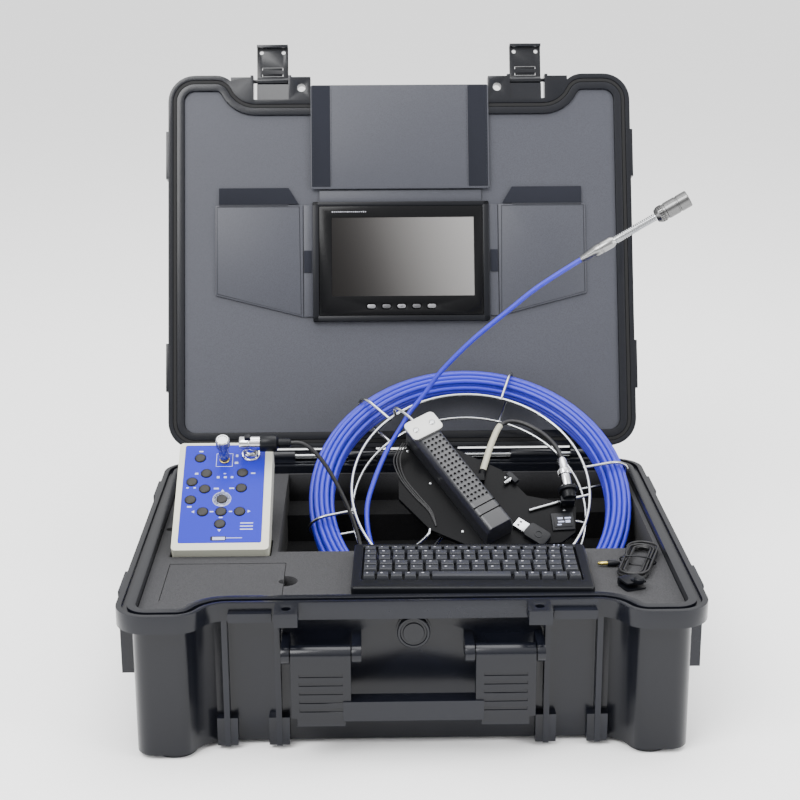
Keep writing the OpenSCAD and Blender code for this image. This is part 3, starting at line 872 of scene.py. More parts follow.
def arc(cx: float, cy: float, r: float, a0: float, a1: float, n: int) -> List[Point]:
    """Points of a circular arc, angles in degrees."""
    return [(cx + r * math.cos(math.radians(a0 + (a1 - a0) * k / n)),
             cy + r * math.sin(math.radians(a0 + (a1 - a0) * k / n))) for k in range(n + 1)]


def rounded(x0: float, x1: float, y0: float, y1: float, r: float, n: int = 5) -> List[Point]:
    """Outline of a rectangle with round corners."""
    return (arc(x1 - r, y1 - r, r, 0, 90, n) + arc(x0 + r, y1 - r, r, 90, 180, n)
            + arc(x0 + r, y0 + r, r, 180, 270, n) + arc(x1 - r, y0 + r, r, 270, 360, n))


def cord_curve(name: str, path: Sequence[Vector], radius: float, body: str, finish: Finish,
               replaces: Sequence[str]) -> bpy.types.Object:
    """A round cord as one smooth curve, path in metres and radius in millimetres.

    Args:
        name: the piece's name.
        path: points in metres.
        radius: in millimetres.
        body: the body that carries it.
        finish: its finish.
        replaces: frame nodes it stands for.
    Returns:
        The linked object.
    """
    curve = bpy.data.curves.new(name, "CURVE")
    curve.dimensions = "3D"
    curve.bevel_depth = radius * MM
    curve.bevel_resolution = 3
    curve.use_fill_caps = True
    line = curve.splines.new("POLY")
    line.points.add(len(path) - 1)
    for spot, p in zip(line.points, path):
        spot.co = (*p, 1)
    line.use_smooth = True
    curve.materials.append(finish.material())
    obj = bpy.data.objects.new(name, curve)
    bpy.context.scene.collection.objects.link(obj)
    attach(obj, body)
    if replaces:
        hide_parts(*replaces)
    return obj


# ---------------------------------------------------------------- studio


@dataclass
class Studio:
    """Camera, floor and lights."""

    lens: float = 73.8
    position: Point = (-33.0, -1466.0, 693.0)
    pitch: float = 16.25
    yaw: float = -1.02
    roll: float = 0.24
    sky: float = 2.5

    def build(self) -> None:
        """Make the camera, the floor and the lights."""
        self._camera()
        self._floor()
        self._lights()

    def _camera(self) -> None:
        """Place the camera from its turns about the three axes."""
        data = bpy.data.cameras.new("camera")
        data.lens, data.sensor_width = self.lens, 36.0
        data.clip_start, data.clip_end = 0.05, 60.0
        cam = bpy.data.objects.new("camera", data)
        bpy.context.scene.collection.objects.link(cam)
        bpy.context.scene.camera = cam
        p, y, r = (math.radians(v) for v in (self.pitch, self.yaw, self.roll))
        base = Matrix(((1, 0, 0), (0, 0, -1), (0, 1, 0)))
        turn = Matrix(((math.cos(y), math.sin(y), 0), (-math.sin(y), math.cos(y), 0), (0, 0, 1)))
        nod = Matrix(((1, 0, 0), (0, math.cos(p), -math.sin(p)), (0, math.sin(p), math.cos(p))))
        lean = Matrix(((math.cos(r), math.sin(r), 0), (-math.sin(r), math.cos(r), 0), (0, 0, 1)))
        view = lean @ nod @ base @ turn
        flip = Matrix(((1, 0, 0), (0, -1, 0), (0, 0, -1)))
        cam.matrix_world = (Matrix.Translation(CASE.point(self.position))
                            @ (flip @ view).transposed().to_4x4())

    def _floor(self) -> None:
        bm = bmesh.new()
        bmesh.ops.create_grid(bm, x_segments=2, y_segments=2, size=60.0)
        mesh = bpy.data.meshes.new("floor")
        bm.to_mesh(mesh)
        bm.free()
        obj = bpy.data.objects.new("floor", mesh)
        obj.location.z = -0.0004
        bpy.context.scene.collection.objects.link(obj)
        paper = Finish("floor_paper", "", (0.93, 0.93, 0.93), 0.9, Grain.SMOOTH, 40.0, 0.0, 0.004)
        mesh.materials.append(paper.material())

    def _lights(self) -> None:
        """A graded sky and five lamps aimed at the case."""
        world = bpy.data.worlds.new("studio")
        bpy.context.scene.world = world
        world.use_nodes = True
        tree = world.node_tree
        back = tree.nodes["Background"]
        where, parts = tree.nodes.new("ShaderNodeTexCoord"), tree.nodes.new("ShaderNodeSeparateXYZ")
        sky = tree.nodes.new("ShaderNodeValToRGB")
        tree.links.new(where.outputs["Generated"], parts.inputs[0])
        tree.links.new(parts.outputs["Z"], sky.inputs["Fac"])
        tree.links.new(sky.outputs["Color"], back.inputs["Color"])
        for spot, level in zip((sky.color_ramp.elements[0], sky.color_ramp.elements.new(0.3),
                                sky.color_ramp.elements[-1]), (0.14, 0.42, 1.0)):
            spot.color = (level, level, level, 1)
        back.inputs["Strength"].default_value = self.sky
        for name, place, size, tall, power in (
            ("key", (-1.1, -1.5, 2.2), 1.4, 1.4, 75), ("fill", (1.9, -1.2, 1.3), 1.2, 1.2, 24),
            ("top", (0.2, 0.2, 2.6), 1.8, 1.8, 55), ("left_strip", (-2.0, -1.3, 0.75), 0.22, 1.3, 15),
            ("right_strip", (2.0, -1.5, 0.75), 0.22, 1.3, 15),
        ):
            lamp = bpy.data.lights.new(name, "AREA")
            lamp.shape, lamp.energy, lamp.size, lamp.size_y = "RECTANGLE", power, size, tall
            obj = bpy.data.objects.new(name, lamp)
            bpy.context.scene.collection.objects.link(obj)
            obj.location = place
            obj.rotation_euler = (Vector((0, 0, 0.2)) - Vector(place)).to_track_quat("-Z", "Y").to_euler()


# ---------------------------------------------------------------- cords


@dataclass
class PushRod:
    """The blue rod: wound turns on the reel and the free end to the head."""

    pitch: float = 5.05
    centre: float = 149.7
    start: float = 195.0
    steps: int = 72
    cells: List[Tuple[int, int]] = field(default_factory=list)

    ROUTE = [(35, -14, 57), (0, 5, 73), (-23, 24, 88), (-36, 49, 107), (-39, 76, 130), (-32, 98, 151),
             (-19, 121, 175), (-2, 141, 198), (7, 148, 211), (22, 152, 229), (38, 153, 251),
             (70, 153, 284), (108, 153, 316), (136, 152, 339), (178, 150, 367)]
    HEAD = (283, 146, 429)

    def __post_init__(self) -> None:
        """List the cells that the turns fill, column by column."""
        rows = ((2, -1, 1), (1, 2, -2), (0, -2, 2), (-1, 2, -2), (-2, -1, 1))
        for column, first, last in rows:
            step = 1 if last > first else -1
            self.cells += [(column, j) for j in range(first, last + step, step)]

    def _cell(self, k: int, turned: float) -> Tuple[float, float]:
        """Place of turn k in the bundle after turning by some degrees.

        Args:
            k: the turn.
            turned: degrees it is turned by.
        Returns:
            The place in the bundle.
        """
        here = self.cells[k]
        if k + 1 >= len(self.cells):
            return here
        there = self.cells[k + 1]
        begin = 330 + (here[0] - 2) * 14
        t = min(1.0, max(0.0, (turned - begin) / 26))
        t = t * t * (3 - 2 * t)
        if here[0] == there[0]:
            return here[0], here[1] + (there[1] - here[1]) * t
        side = 1 if here[1] > 0 else -1
        wide = abs(there[1]) - abs(here[1])
        bulge = 0.35 * math.sin(math.pi * t) * side if wide else 0.0
        return (here[0] + (there[0] - here[0]) * t,
                here[1] + (there[1] - here[1]) * t + bulge)

    def path(self) -> List[Vector]:
        """Every point of the rod's centre line, in metres.

        Returns:
            The points.
        """
        pts: List[Vector] = []
        turns = len(self.cells)
        for k in range(turns):
            last = k + 1 == turns
            for s in range(self.steps - (5 if last else 0)):
                turned = 360 * s / self.steps
                c, j = self._cell(k, turned)
                a = math.radians(self.start + turned)
                r = self.centre + c * self.pitch
                pts.append(REEL.point((r * math.sin(a), r * math.cos(a), j * self.pitch)))
        a, b = Vector(self.ROUTE[-1]), Vector(self.HEAD)
        inside = [tuple(a + (b - a) * t) for t in (0.15, 0.3, 0.45, 0.6, 0.72)]
        free = smooth_path([CASE.point(p) for p in self.ROUTE + inside], 10)
        return pts + free

    def build(self) -> None:
        path = self.path()
        rod = cord_curve("push_rod", path, 2.5, "reel", Palette.rod, ("push_rod_coil", "push_rod_free"))


@dataclass
class Leads:
    """The control lead, the reel's tail lead and the microphone lead."""

    CONTROL = [(-111, 34, 214), (-100, 34, 213), (-88, 31, 205), (-77, 26, 192), (-65, 19, 172),
               (-54, 12, 148), (-46, 3, 124), (-42, -11, 104), (-40, -23, 80), (-40, -29, 60), (-40, -30, 28)]
    TAIL = [(92, 26, 34), (87, 44, 31), (74, 65, 26), (54, 80, 23), (36, 79, 22), (25, 58, 22),
            (16, 30, 22), (13, 20, 22)]

    def build(self) -> None:
        self._control()
        self._tail()
        self._microphone()

    def _control(self) -> None:
        """The lead from the control box plug down into the foam."""
        path = smooth_path([CASE.point(p) for p in self.CONTROL], 6)
        lead = cord_curve("control_cord", path, 2.0, "control_box", Palette.cord, ("control_lead",))

    def _tail(self) -> None:
        """The lead from the tail plug to the hub, with its sleeve."""
        path = smooth_path([REEL.point(p) for p in self.TAIL], 6)
        lead = cord_curve("tail_cord", path, 2.4, "reel", Palette.cord, ("tail_lead",))
        cover = cord_curve("tail_sleeve", path[-18:], 3.3, "reel", Palette.sleeve, ())

    @staticmethod
    def hank() -> List[Vector]:
        """The thin lead folded into long loops on the foam.

        Returns:
            The points.
        """
        spot = CASE.then(shift(207, -82, 131) @ spin(72))
        pts: List[Vector] = []
        loops, per = 7, 40
        for k in range(per * 3 // 4 + 1, (loops + 1) * per - per * 3 // 4):
            t = k / per
            r = 7.2 + 6.6 * (0.5 - 0.5 * math.cos(math.pi * 2 * t / loops * 1.5))
            z = 1.3 + 6.2 * t / loops
            a = math.tau * (t % 1.0)
            side = 26.0 if math.cos(a) > 0 else -26.0
            pts.append(spot.point((side + r * math.cos(a) + 1.5 * math.sin(3 * t), r * math.sin(a), z)))
        return pts

    def _microphone(self) -> None:
        """The thin lead, its hank and its two ends."""
        loops = self.hank()
        lead_in = [CASE.point(p) for p in ((193, -126, 138), (198, -120.5, 136), (204.5, -109, 133),
                                           (209, -97, 132.4), (214, -82, 132.3))]
        run_out = [CASE.point(p) for p in ((199.3, -64, 138.8), (197.6, -74, 138.0), (196.6, -80, 136.6),
                                           (193.8, -83.4, 135.0), (190.4, -84, 134.3))]
        head = smooth_path(lead_in + loops[:2], 4)[:-4]
        tail = smooth_path(loops[-2:] + run_out, 4)[4:]
        path = head[:-1] + loops + tail[1:]
        lead = cord_curve("microphone_cord", path, 1.1, "microphone", Palette.cord, ("mic_lead",))


# ---------------------------------------------------------------- case


@dataclass
class CaseShell:
    """The moulded case with its latches, handle and valve."""

    def build(self) -> None:
        """Dress the shell and add its small parts."""
        refined("case_base", "case", Palette.case, 0.9)
        refined("case_lid", "lid", Palette.case, 0.9)
        refined("carry_handle", "handle", Palette.case, 1.2)
        refined("latch_left", "left_latch", Palette.tab, 0.4)
        refined("latch_right", "right_latch", Palette.tab, 0.4)
        for side, name, body in ((-1, "latch_backing_left", "left_latch"),
                                 (1, "latch_backing_right", "right_latch")):
            x0, x1 = sorted((side * (LATCH_X - LATCH_SLOT), side * (LATCH_X + LATCH_SLOT)))
            Sculpt().box((x0, -213.6, 145.4), (x1, -204.4, 146.2), 0.2).piece(name, LID, body, Palette.black)
        paint(Palette.gasket, "lid_gasket")
        paint(Palette.steel, "hinge_rod")
        paint(Palette.foam, "foam_tray")
        refined("pocket_lid", "pocket_cover", Palette.foam, 0.8)
        self._valve()
        guard = Sculpt()
        for x0, x1 in ((-182, -27), (27, 182)):
            guard.box((x0, HINGE[0] + 2.6, 133), (x1, HINGE[0] + 4.6, HINGE[1] + 5.6), 0.6)
        guard.piece("hinge_guard", CASE, "case", Palette.case)

    def _valve(self) -> None:
        """The pressure valve in the front wall."""
        spot = CASE.then(shift(1, -161, 107) @ spin(90, "X"))
        Sculpt().lathe([(0, 0), (5.9, 0), (5.9, 5.3), (13.4, 5.3), (14.2, 6.0), (14.3, 9.4), (13.6, 10.2),
                        (11.8, 10.4), (11.2, 9.4), (9.4, 9.2), (8.9, 10.4), (3.2, 10.5), (0, 10.5)],
                       sides=64).piece("valve_cap", spot, "valve", Palette.tab, ("pressure_valve",))


@dataclass
class LidInterior:
    """Cloth panel, folding shades and the monitor in its frame."""

    def build(self) -> None:
        """Dress the inside of the lid."""
        paint(Palette.panel, "lid_panel")
        self._frame()
        self._monitor()
        self._top_shade()
        for side, body in ((-1, "left_flap"), (1, "right_flap")):
            self._side_shade(side, body)

    def _frame(self) -> None:
        """The frame round the monitor, with its wings and tape."""
        frame = Sculpt()
        for low, high in (((-95.6, 136.2, -3), (95.6, 142.5, 5)), ((-95.6, 261.5, -3), (95.6, 266.8, 5)),
                          ((-95.6, 136.2, -3), (-88.6, 266.8, 5)), ((88.6, 136.2, -3), (95.6, 266.8, 5))):
            frame.box(low, high, 1.4)
        frame.piece("monitor_frame", FACE, "lid", Palette.black, ("monitor_shroud",))
        wings = Sculpt()
        for s in (-1, 1):
            wings.box((min(s * 95, s * 105.4), 142, -3), (max(s * 95, s * 105.4), 264, -0.4), 0.4)
        wings.box((-88, 266, -3), (88, 280, -0.4), 0.4)
        wings.piece("shade_strip", FACE, "lid", Palette.flap)
        tape = Sculpt()
        for s in (-1, 1):
            tape.box((min(s * 97, s * 105.2), 190, -0.5), (max(s * 97, s * 105.2), 214, 0.9), 0.35)
        tape.piece("shade_tape", FACE, "lid", Palette.hook_tape)

    def _monitor(self) -> None:
        """The monitor, its picture, buttons and marks."""
        refined("monitor_body", "lid", Palette.gloss, 0.7)
        mesh = NODES["display_glass"].data
        mesh.materials.clear()
        mesh.materials.append(screen_with_painted_reflection())
        for k in range(5):
            finish = Palette.silver if k in (0, 2, 4) else Palette.silver_dark
            x = (k - 2) * BUTTON_PITCH
            outline = (arc(x + 2.3, BUTTON_ROW, 2.2, -90, 90, 8)
                       + arc(x - 2.3, BUTTON_ROW, 2.2, 90, 270, 8))
            Sculpt().prism(outline, 4.4, 7.0, 0.5, least=0.9).piece(
                f"monitor_cap_{k + 1}", FACE, f"monitor_key_{k + 1}", finish, (f"monitor_button_{k + 1}",))
        REPEAT.copies("monitor_marks", Sculpt().box((-1.5, -0.35, 0), (1.5, 0.35, 0.04)),
                      [shift(0.0, BUTTON_ROW, 7.02)], FACE, "monitor_key_3", Palette.black)
        line = [shift(-74 + 2.1 * k, 255.2, 6.03) for k in range(18)]
        REPEAT.copies("bezel_marks", Sculpt().box((-0.7, -0.55, 0), (0.7, 0.55, 0.04)), line, FACE, "lid",
                      Palette.legend, [(0.9, 0.8 if k % 4 else 1.2, 1) for k in range(18)])

    def _top_shade(self) -> None:
        """The top shade with its tape and stitches."""
        Sculpt().prism(rounded(-97, 97, 281, 396, 2.5), 0.4, 2.8, 0.7).piece(
            "top_shade_board", FACE, "top_flap", Palette.flap, ("shade_top",))
        tape = Sculpt()
        for x0, x1 in ((-96, -76), (74.5, 95.5)):
            tape.prism(rounded(x0, x1, 283.5, 395, 0.8), 2.7, 3.5, 0.25)
        tape.piece("top_shade_tape", FACE, "top_flap", Palette.hook_tape)
        self._seam("top_shade_seam", [(x, v) for x in (-98 + 3.4, -74.6, 73.0, 94.2) for v in
                                      range(286, 394, 4)], 3.55, "top_flap", along_v=True)

    def _seam(self, name: str, spots: Sequence[Point], w: float, body: str, along_v: bool) -> None:
        """Stitches on a shade.

        Args:
            name: the piece's name.
            spots: x and height of each stitch.
            w: distance from the panel.
            body: the body that carries them.
            along_v: whether each stitch runs up the shade.
        """
        size = (0.16, 1.2, 0.12) if along_v else (1.2, 0.16, 0.12)
        stitch = Sculpt().box([-s for s in size], size, 0.1)
        REPEAT.copies(name, stitch, [shift(x, v, w) for x, v in spots], FACE, body, Palette.thread)

    def _side_shade(self, s: int, body: str) -> None:
        """One side shade with its fold, piping and tape.

        Args:
            s: -1 for left, 1 for right.
            body: the body that carries it.
        """
        outline = [(s * x, v) for x, v in ((106.2, 141.6), (201, 166), (201, 264), (197, 264.2), (197, 283),
                                           (122, 283), (122, 264.2), (106.2, 264))]
        if s < 0:
            outline.reverse()
        side = "right" if s > 0 else "left"
        Sculpt().prism(outline, -2.6, -0.3, 0.6).piece(f"{side}_shade_board", FACE, body, Palette.flap,
                                                       (f"shade_{side}",))
        fold = Sculpt()
        fold.box((min(s * 122, s * 197), 263.2, -0.6), (max(s * 122, s * 197), 264.6, 0.15), 0.25)
        fold.piece(f"{side}_shade_fold", FACE, body, Palette.thread)
        rim = [(s * x, v, -0.35) for x, v in ((108.5, 144), (199.2, 167.4), (199.2, 262.4), (110, 262.4))]
        Sculpt().tube(rim, 0.45, 8, closed=True).piece(f"{side}_shade_piping", FACE, body, Palette.thread)
        strip = Sculpt()
        tab = [(s * 110.5, 265.0), (s * 197, 265.0), (s * 197, 283), (s * 121.5, 283)]
        strip.prism(tab if s > 0 else tab[::-1], -0.6, 0.35, 0.25)
        strip.piece(f"{side}_shade_tape", FACE, body, Palette.hook_tape)


@dataclass
class ControlBox:
    """The cream housing with its blue overlay, keys, knob and plug."""

    KEYS_AT = [(-24.4, 110), (-17.4, 91), (17, 91.5), (-30.6, 80.7), (-18, 72), (16.6, 72.8), (-30.7, 59),
               (-1.1, 59.4), (-18.4, 44.6), (-1.1, 44.6), (16.3, 44.6), (-1.4, 30.2)]

    def build(self) -> None:
        """Dress the control box."""
        refined("control_case", "control_box", Palette.cream, 1.3, 3)
        paint(Palette.overlay, "control_overlay")
        for k, (x, v) in enumerate(self.KEYS_AT, 1):
            Sculpt().lathe([(0, -2.8), (5.2, -2.8), (5.2, 0.2), (4.95, 0.75), (4.4, 1.15), (3.0, 1.35),
                            (0, 1.4)], shift(x, v, 0), 32).piece(
                f"control_cap_{k:02d}", BOX, f"control_key_{k:02d}", Palette.key, (f"control_button_{k:02d}",))
        self._print()
        self._knob()
        self._plug()

    def _print(self) -> None:
        """Plain rings, bars and arrows on the overlay."""
        marks = Sculpt()
        flat = 0.12

        def ring(x: float, v: float, r: float, w: float) -> None:
            """A flat ring."""
            marks.lathe([(r, 0), (r + w, 0), (r + w, flat), (r, flat), (r, 0)], shift(x, v, 0), 48)

        def dash(x: float, v: float, w: float, h: float) -> None:
            """A flat bar."""
            marks.box((x - w / 2, v - h / 2, 0), (x + w / 2, v + h / 2, flat))

        def arrow(x: float, v: float, turn: float) -> None:
            """A flat arrow head."""
            marks.prism([(-1.7, -1.1), (1.7, -1.1), (0, 1.6)], 0, flat, 0, shift(x, v, 0) @ spin(turn))

        ring(-1.1, 59.4, 8.4, 0.45)
        for x, v, turn in ((-0.9, 69.6, 0), (-1.6, 22.6, 180), (-27.3, 44.6, 90), (25, 44.6, -90)):
            arrow(x, v, turn)
        for x, v, w, h in ((-9.9, 44.6, 3.6, 1.3), (7.8, 44.6, 3.0, 1.2), (-1, 52, 3.4, 1.4),
                           (-1, 37.6, 3.4, 1.4), (-7, 72.2, 4.8, 1.8), (7.6, 72.4, 4.6, 1.6),
                           (27.2, 90.6, 4.2, 1.6), (-26.8, 90.6, 3.2, 2.2), (-34.4, 73.4, 2.2, 1.5),
                           (-27.6, 73.4, 2.2, 1.5), (-31.2, 50.6, 4.2, 1.8), (-6, 86, 2.6, 2.6),
                           (0.8, 86, 2.8, 2.2), (7.2, 86, 2.4, 2.4), (0.2, 90.4, 2.4, 1.2),
                           (10.8, 112.5, 2.2, 3.0), (10.6, 103.6, 3.4, 2.6), (-24, 118.2, 4.0, 1.5)):
            dash(x, v, w, h)
        for x0, x1, v0, v1 in ((-9, 7, 99, 115.5),):
            for low, high in (((x0, v0), (x1, v0 + 0.5)), ((x0, v1 - 0.5), (x1, v1)),
                              ((x0, v0), (x0 + 0.5, v1)), ((x1 - 0.5, v0), (x1, v1))):
                marks.box((*low, 0), (*high, flat))
        for k in range(3):
            dash(23.6, 23.6 + 3.6 * k, 12.0, 1.2)
        dash(-1.6, 13.1, 11.5, 3.4)
        dash(12.6, 13.6, 15.0, 0.7)
        marks.piece("overlay_print", BOX, "control_box", Palette.print)
        badge = Sculpt().prism(rounded(-9.4, 5.2, 10.6, 15.6, 1.0), 0, 0.04)
        badge.piece("overlay_badge", BOX, "control_box", Palette.black)

    def _knob(self) -> None:
        """The knob with its collar and ribs."""
        spot = shift(-0.9, 107.4, 0)
        Sculpt().lathe([(3.1, 0), (4.9, 0), (4.9, 1.4), (4.3, 1.8), (4.3, 4.6), (3.1, 4.7)], spot, 32).piece(
            "knob_collar", BOX, "control_box", Palette.brass)
        Sculpt().lathe([(0, -11), (3.0, -11), (3.0, 5), (4.6, 5), (5.0, 5.6), (4.7, 19), (6.0, 20),
                        (6.4, 21), (6.4, 30), (5.6, 31), (4.6, 31), (4.3, 30.4), (0, 30.4)], spot, 40).piece(
            "knob_turned", BOX, "knob", Palette.steel, ("control_knob",))
        ribs = [shift(-0.9, 107.4, 0) @ spin(15 * k) @ shift(6.35, 0, 25.5) for k in range(24)]
        REPEAT.copies("knob_ribs", Sculpt().box((-0.3, -0.42, -4.3), (0.3, 0.42, 4.3), 0.2),
                      ribs, BOX, "knob", Palette.steel)

    def _plug(self) -> None:
        """The socket and the angled plug in it."""
        spot = shift(24.2, 113.7, 0)
        Sculpt().lathe([(0, -11), (7, -11), (7, 0), (9.0, 0), (9.0, 1.4), (8.4, 2.2), (7.6, 2.3), (7.5, 6.2),
                        (7.0, 7), (0, 7)], spot, 48).piece("socket_ring", BOX, "control_box", Palette.chrome,
                                                           ("control_socket",))
        barrel = Sculpt()
        barrel.lathe([(0, 7), (5.4, 7), (5.6, 8), (5.6, 18), (0, 18)], spot, 32)
        side = shift(24.2, 113.7, 17.2) @ spin(90, "Y")
        barrel.lathe([(0, -10), (6.4, -10), (7.0, -9.2), (7.0, -1.2), (6.3, -0.9), (6.3, 0.7), (7.0, 1.0),
                      (7.0, 9.6), (0, 9.6)], side, 40)
        barrel.piece("plug_barrel", BOX, "control_box", Palette.chrome, ("lead_plug",))
        cover = Sculpt()
        cover.lathe([(0, 9.6), (7.6, 9.6), (8.3, 10.6), (8.4, 22), (7.6, 25.5), (5.0, 27), (4.2, 27.5),
                     (3.9, 38.6), (3.3, 39.3), (0, 39.3)], side, 40)
        cover.box((19.2, 111.2, 23), (25.2, 116.2, 28), 1.2)
        cover.piece("plug_cover", BOX, "control_box", Palette.black)
        rings = [shift(24.2 + 28.6 + 1.7 * k, 113.7, 17.2) @ spin(90, "Y") for k in range(6)]
        REPEAT.copies("plug_ribs", Sculpt().lathe([(3.4, -0.42), (4.5, -0.42), (4.5, 0.42), (3.4, 0.42),
                                                   (3.4, -0.42)], None, 24), rings, BOX, "control_box",
                      Palette.black)


@dataclass
class Reel:
    """Wire cage, hub plate, grip and the pieces fixed to them."""

    RING = 119.0
    WIRE = 1.6

    def build(self) -> None:
        """Dress the reel."""
        self._cage()
        refined("reel_hub", "reel", Palette.hub, 0.8)
        self._grip()
        self._clamp()
        self._socket()
        self._trims()

    def _circle(self, h: float) -> List[Point]:
        """Points of one wire ring at a height."""
        return [(self.RING * math.sin(math.tau * k / 120), self.RING * math.cos(math.tau * k / 120), h)
                for k in range(120)]

    def _cage(self) -> None:
        """Rings, loops, spokes and short wires of the cage."""
        cage = Sculpt()
        for h in (-20, 20):
            cage.tube(self._circle(h), self.WIRE, 10, closed=True)
        side = [(self.RING - 0.5, 19.4), (128, 19.3), (138, 19.1), (147, 19)]
        bend = [(147 + 19 * math.sin(math.radians(a)), 19 * math.cos(math.radians(a)))
                for a in range(10, 180, 10)]
        loop = side + bend + [(r, -h) for r, h in reversed(side)]
        for k in range(6):
            turn = spin(-(18 + 60 * k))
            cage.tube([(0, r, h) for r, h in loop], self.WIRE, 10, local=turn)
            for h in (19.8, -19.8):
                cage.lathe([(0, -2.4), (1.7, -1.9), (2.3, 0), (1.7, 1.9), (0, 2.4)],
                           turn @ shift(0, self.RING, h) @ spin(90, "Y"), 12)
        for a in (98, 218, 338):
            cage.tube([(0, 29, -9), (0, self.RING, -20)], self.WIRE, 10, local=spin(-a))
        bow = smooth_path([(-74, 93.2, 20), (-75, 91, 33), (-71.5, 86, 40), (-62, 74, 44), (-55, 65, 45)], 8)
        cage.tube(bow, self.WIRE, 10)
        cage.tube(smooth_path([(-42, -48, 19.6), (-45, -55, 18.5), (-60, -62, 6), (-84, -72, -10),
                               (-94, -73, -19.8)], 6), self.WIRE, 10)
        cage.tube([(57, -27, 19.6), (88, -17, 19.6), (118.4, -9, 19.8)], self.WIRE, 10)
        cage.piece("reel_cage", REEL, "reel", Palette.steel, ("reel_frame",))

    def _grip(self) -> None:
        """The grip with its dimples and grooves, their insides drawn as painted shade."""
        body = Sculpt()
        profile = [(-15, 0), (15, 0), (15, 19), (12.4, 25.5), (10, 27), (-10, 27), (-12.4, 25.5), (-15, 19)]
        turned = Matrix(((1, 0, 0, 0), (0, 0, 1, 0), (0, 1, 0, 0), (0, 0, 0, 1)))
        body.prism(profile, -10, 137.5, 1.6, turned, least=0.2)
        body.piece("grip_body", GRIP, "reel", Palette.grip, ("reel_grip",))
        spots = [shift(-9.2 + 4.6 * i, 17 + 5.9 * j, 27.0) for i in range(5) for j in range(15)]
        REPEAT.copies("grip_rims", Sculpt().lathe([(1.35, 0), (2.0, 0), (1.9, 0.3), (1.45, 0.34), (1.35, 0)],
                                                  None, 12), spots, GRIP, "reel", Palette.grip)
        # Dark discs in the dimples are painted shade.
        REPEAT.copies("grip_pits", Sculpt().lathe([(0, 0.02), (1.37, 0.02), (1.3, 0.07), (0, 0.06)], None, 12),
                      spots, GRIP, "reel", Palette.painted_pit_shade)
        # Dark bars on the grip are painted shade in its grooves.
        grooves = Sculpt()
        for y in (109, 119):
            grooves.box((-12.2, y - 0.7, 26.4), (12.2, y + 0.7, 27.12), 0.05)
            grooves.box((-15.05, y - 0.7, 4), (-14.6, y + 0.7, 19), 0.05)
        grooves.piece("grip_grooves", GRIP, "reel", Palette.painted_pit_shade)

    def _clamp(self) -> None:
        """The clamp plate and its two rivets."""
        plate = Sculpt().prism(rounded(-17.6, 17.6, -12.5, 11.5, 5.0, 6), 26.4, 29.8, 0.6)
        plate.piece("clamp_cover", GRIP, "reel", Palette.alu, ("clamp_plate",))
        for k, s in enumerate((-1, 1)):
            Sculpt().lathe([(0, 29.4), (3.1, 29.4), (3.1, 30.2), (2.4, 30.7), (1.4, 30.75), (1.3, 30.3),
                            (0, 30.3)], shift(s * 9.5, 0.5, 0), 24).piece(
                f"clamp_rivet_{k + 1}", GRIP, "reel", Palette.steel)

    def _socket(self) -> None:
        """The hub socket with its screws and the tail plug."""
        spot = aim((96, -12, 30), (92, 26, 34))
        body = Sculpt().lathe([(0, -8), (6.6, -8), (7, -7.4), (7, 0), (9.6, 0), (10, 0.5), (10, 3.4),
                               (9.5, 4), (0, 4)], spot, 40)
        body.box((88, -23, 18), (102, -16, 30), 1.0)
        body.piece("socket_body", REEL, "reel", Palette.black, ("reel_socket",))
        screws = [spot @ spin(45 + 90 * k) @ shift(7.9, 0, 4.0) for k in range(4)]
        REPEAT.copies("socket_screws", self._screw(), screws, REEL, "reel", Palette.chrome)
        plug = Sculpt().lathe([(0, 4.1), (4.6, 4.1), (5, 4.8), (5, 18.6), (6.2, 19), (6.5, 19.6), (6.5, 24.4),
                               (6, 25), (4.5, 25.2), (4.5, 36), (3.4, 38.3), (0, 38.3)], spot, 36)
        plug.piece("tail_plug_body", REEL, "reel", Palette.chrome, ("tail_plug",))
        ribs = [spot @ spin(20 * k) @ shift(6.4, 0, 22) for k in range(18)]
        REPEAT.copies("tail_plug_ribs", Sculpt().box((-0.25, -0.45, -2.2), (0.25, 0.45, 2.2), 0.15), ribs,
                      REEL, "reel", Palette.chrome)

    @staticmethod
    def _screw() -> Sculpt:
        """One small slotted screw head."""
        return Sculpt().lathe([(0, -0.3), (1.5, -0.3), (1.5, 0.3), (1.1, 0.7), (0.45, 0.75), (0.4, 0.35),
                               (0, 0.35)], None, 16)

    def _trims(self) -> None:
        """The memory card, dongle, guide, screws and wires on the hub."""
        card = Matrix.Translation((79, -51, 18)) @ spin(3)
        Sculpt().box((0, 0, 0), (22, 20, 2.2), 0.5, card).box((2, 3, 2.0), (20, 16, 2.8), 0.3, card).piece(
            "card_shell", REEL, "reel", Palette.black, ("memory_card",))
        marks = Sculpt()
        for x, y, w, h in ((6, 12.2, 5, 2), (13, 12.4, 6, 1.6), (6, 8.4, 6, 1.5), (13.5, 7.8, 4.5, 3),
                           (5, 5.2, 4, 1.2)):
            marks.box((x, y, 2.78), (x + w, y + h, 2.84), 0, card)
        marks.piece("card_print", REEL, "reel", Palette.print)
        usb = shift(48, -46, 18.1) @ spin(-38)
        shell = Sculpt().box((-7, -5.6, 0.9), (7, 5.6, 5.2), 0.6, usb)
        shell.piece("dongle_plug", REEL, "reel", Palette.steel)
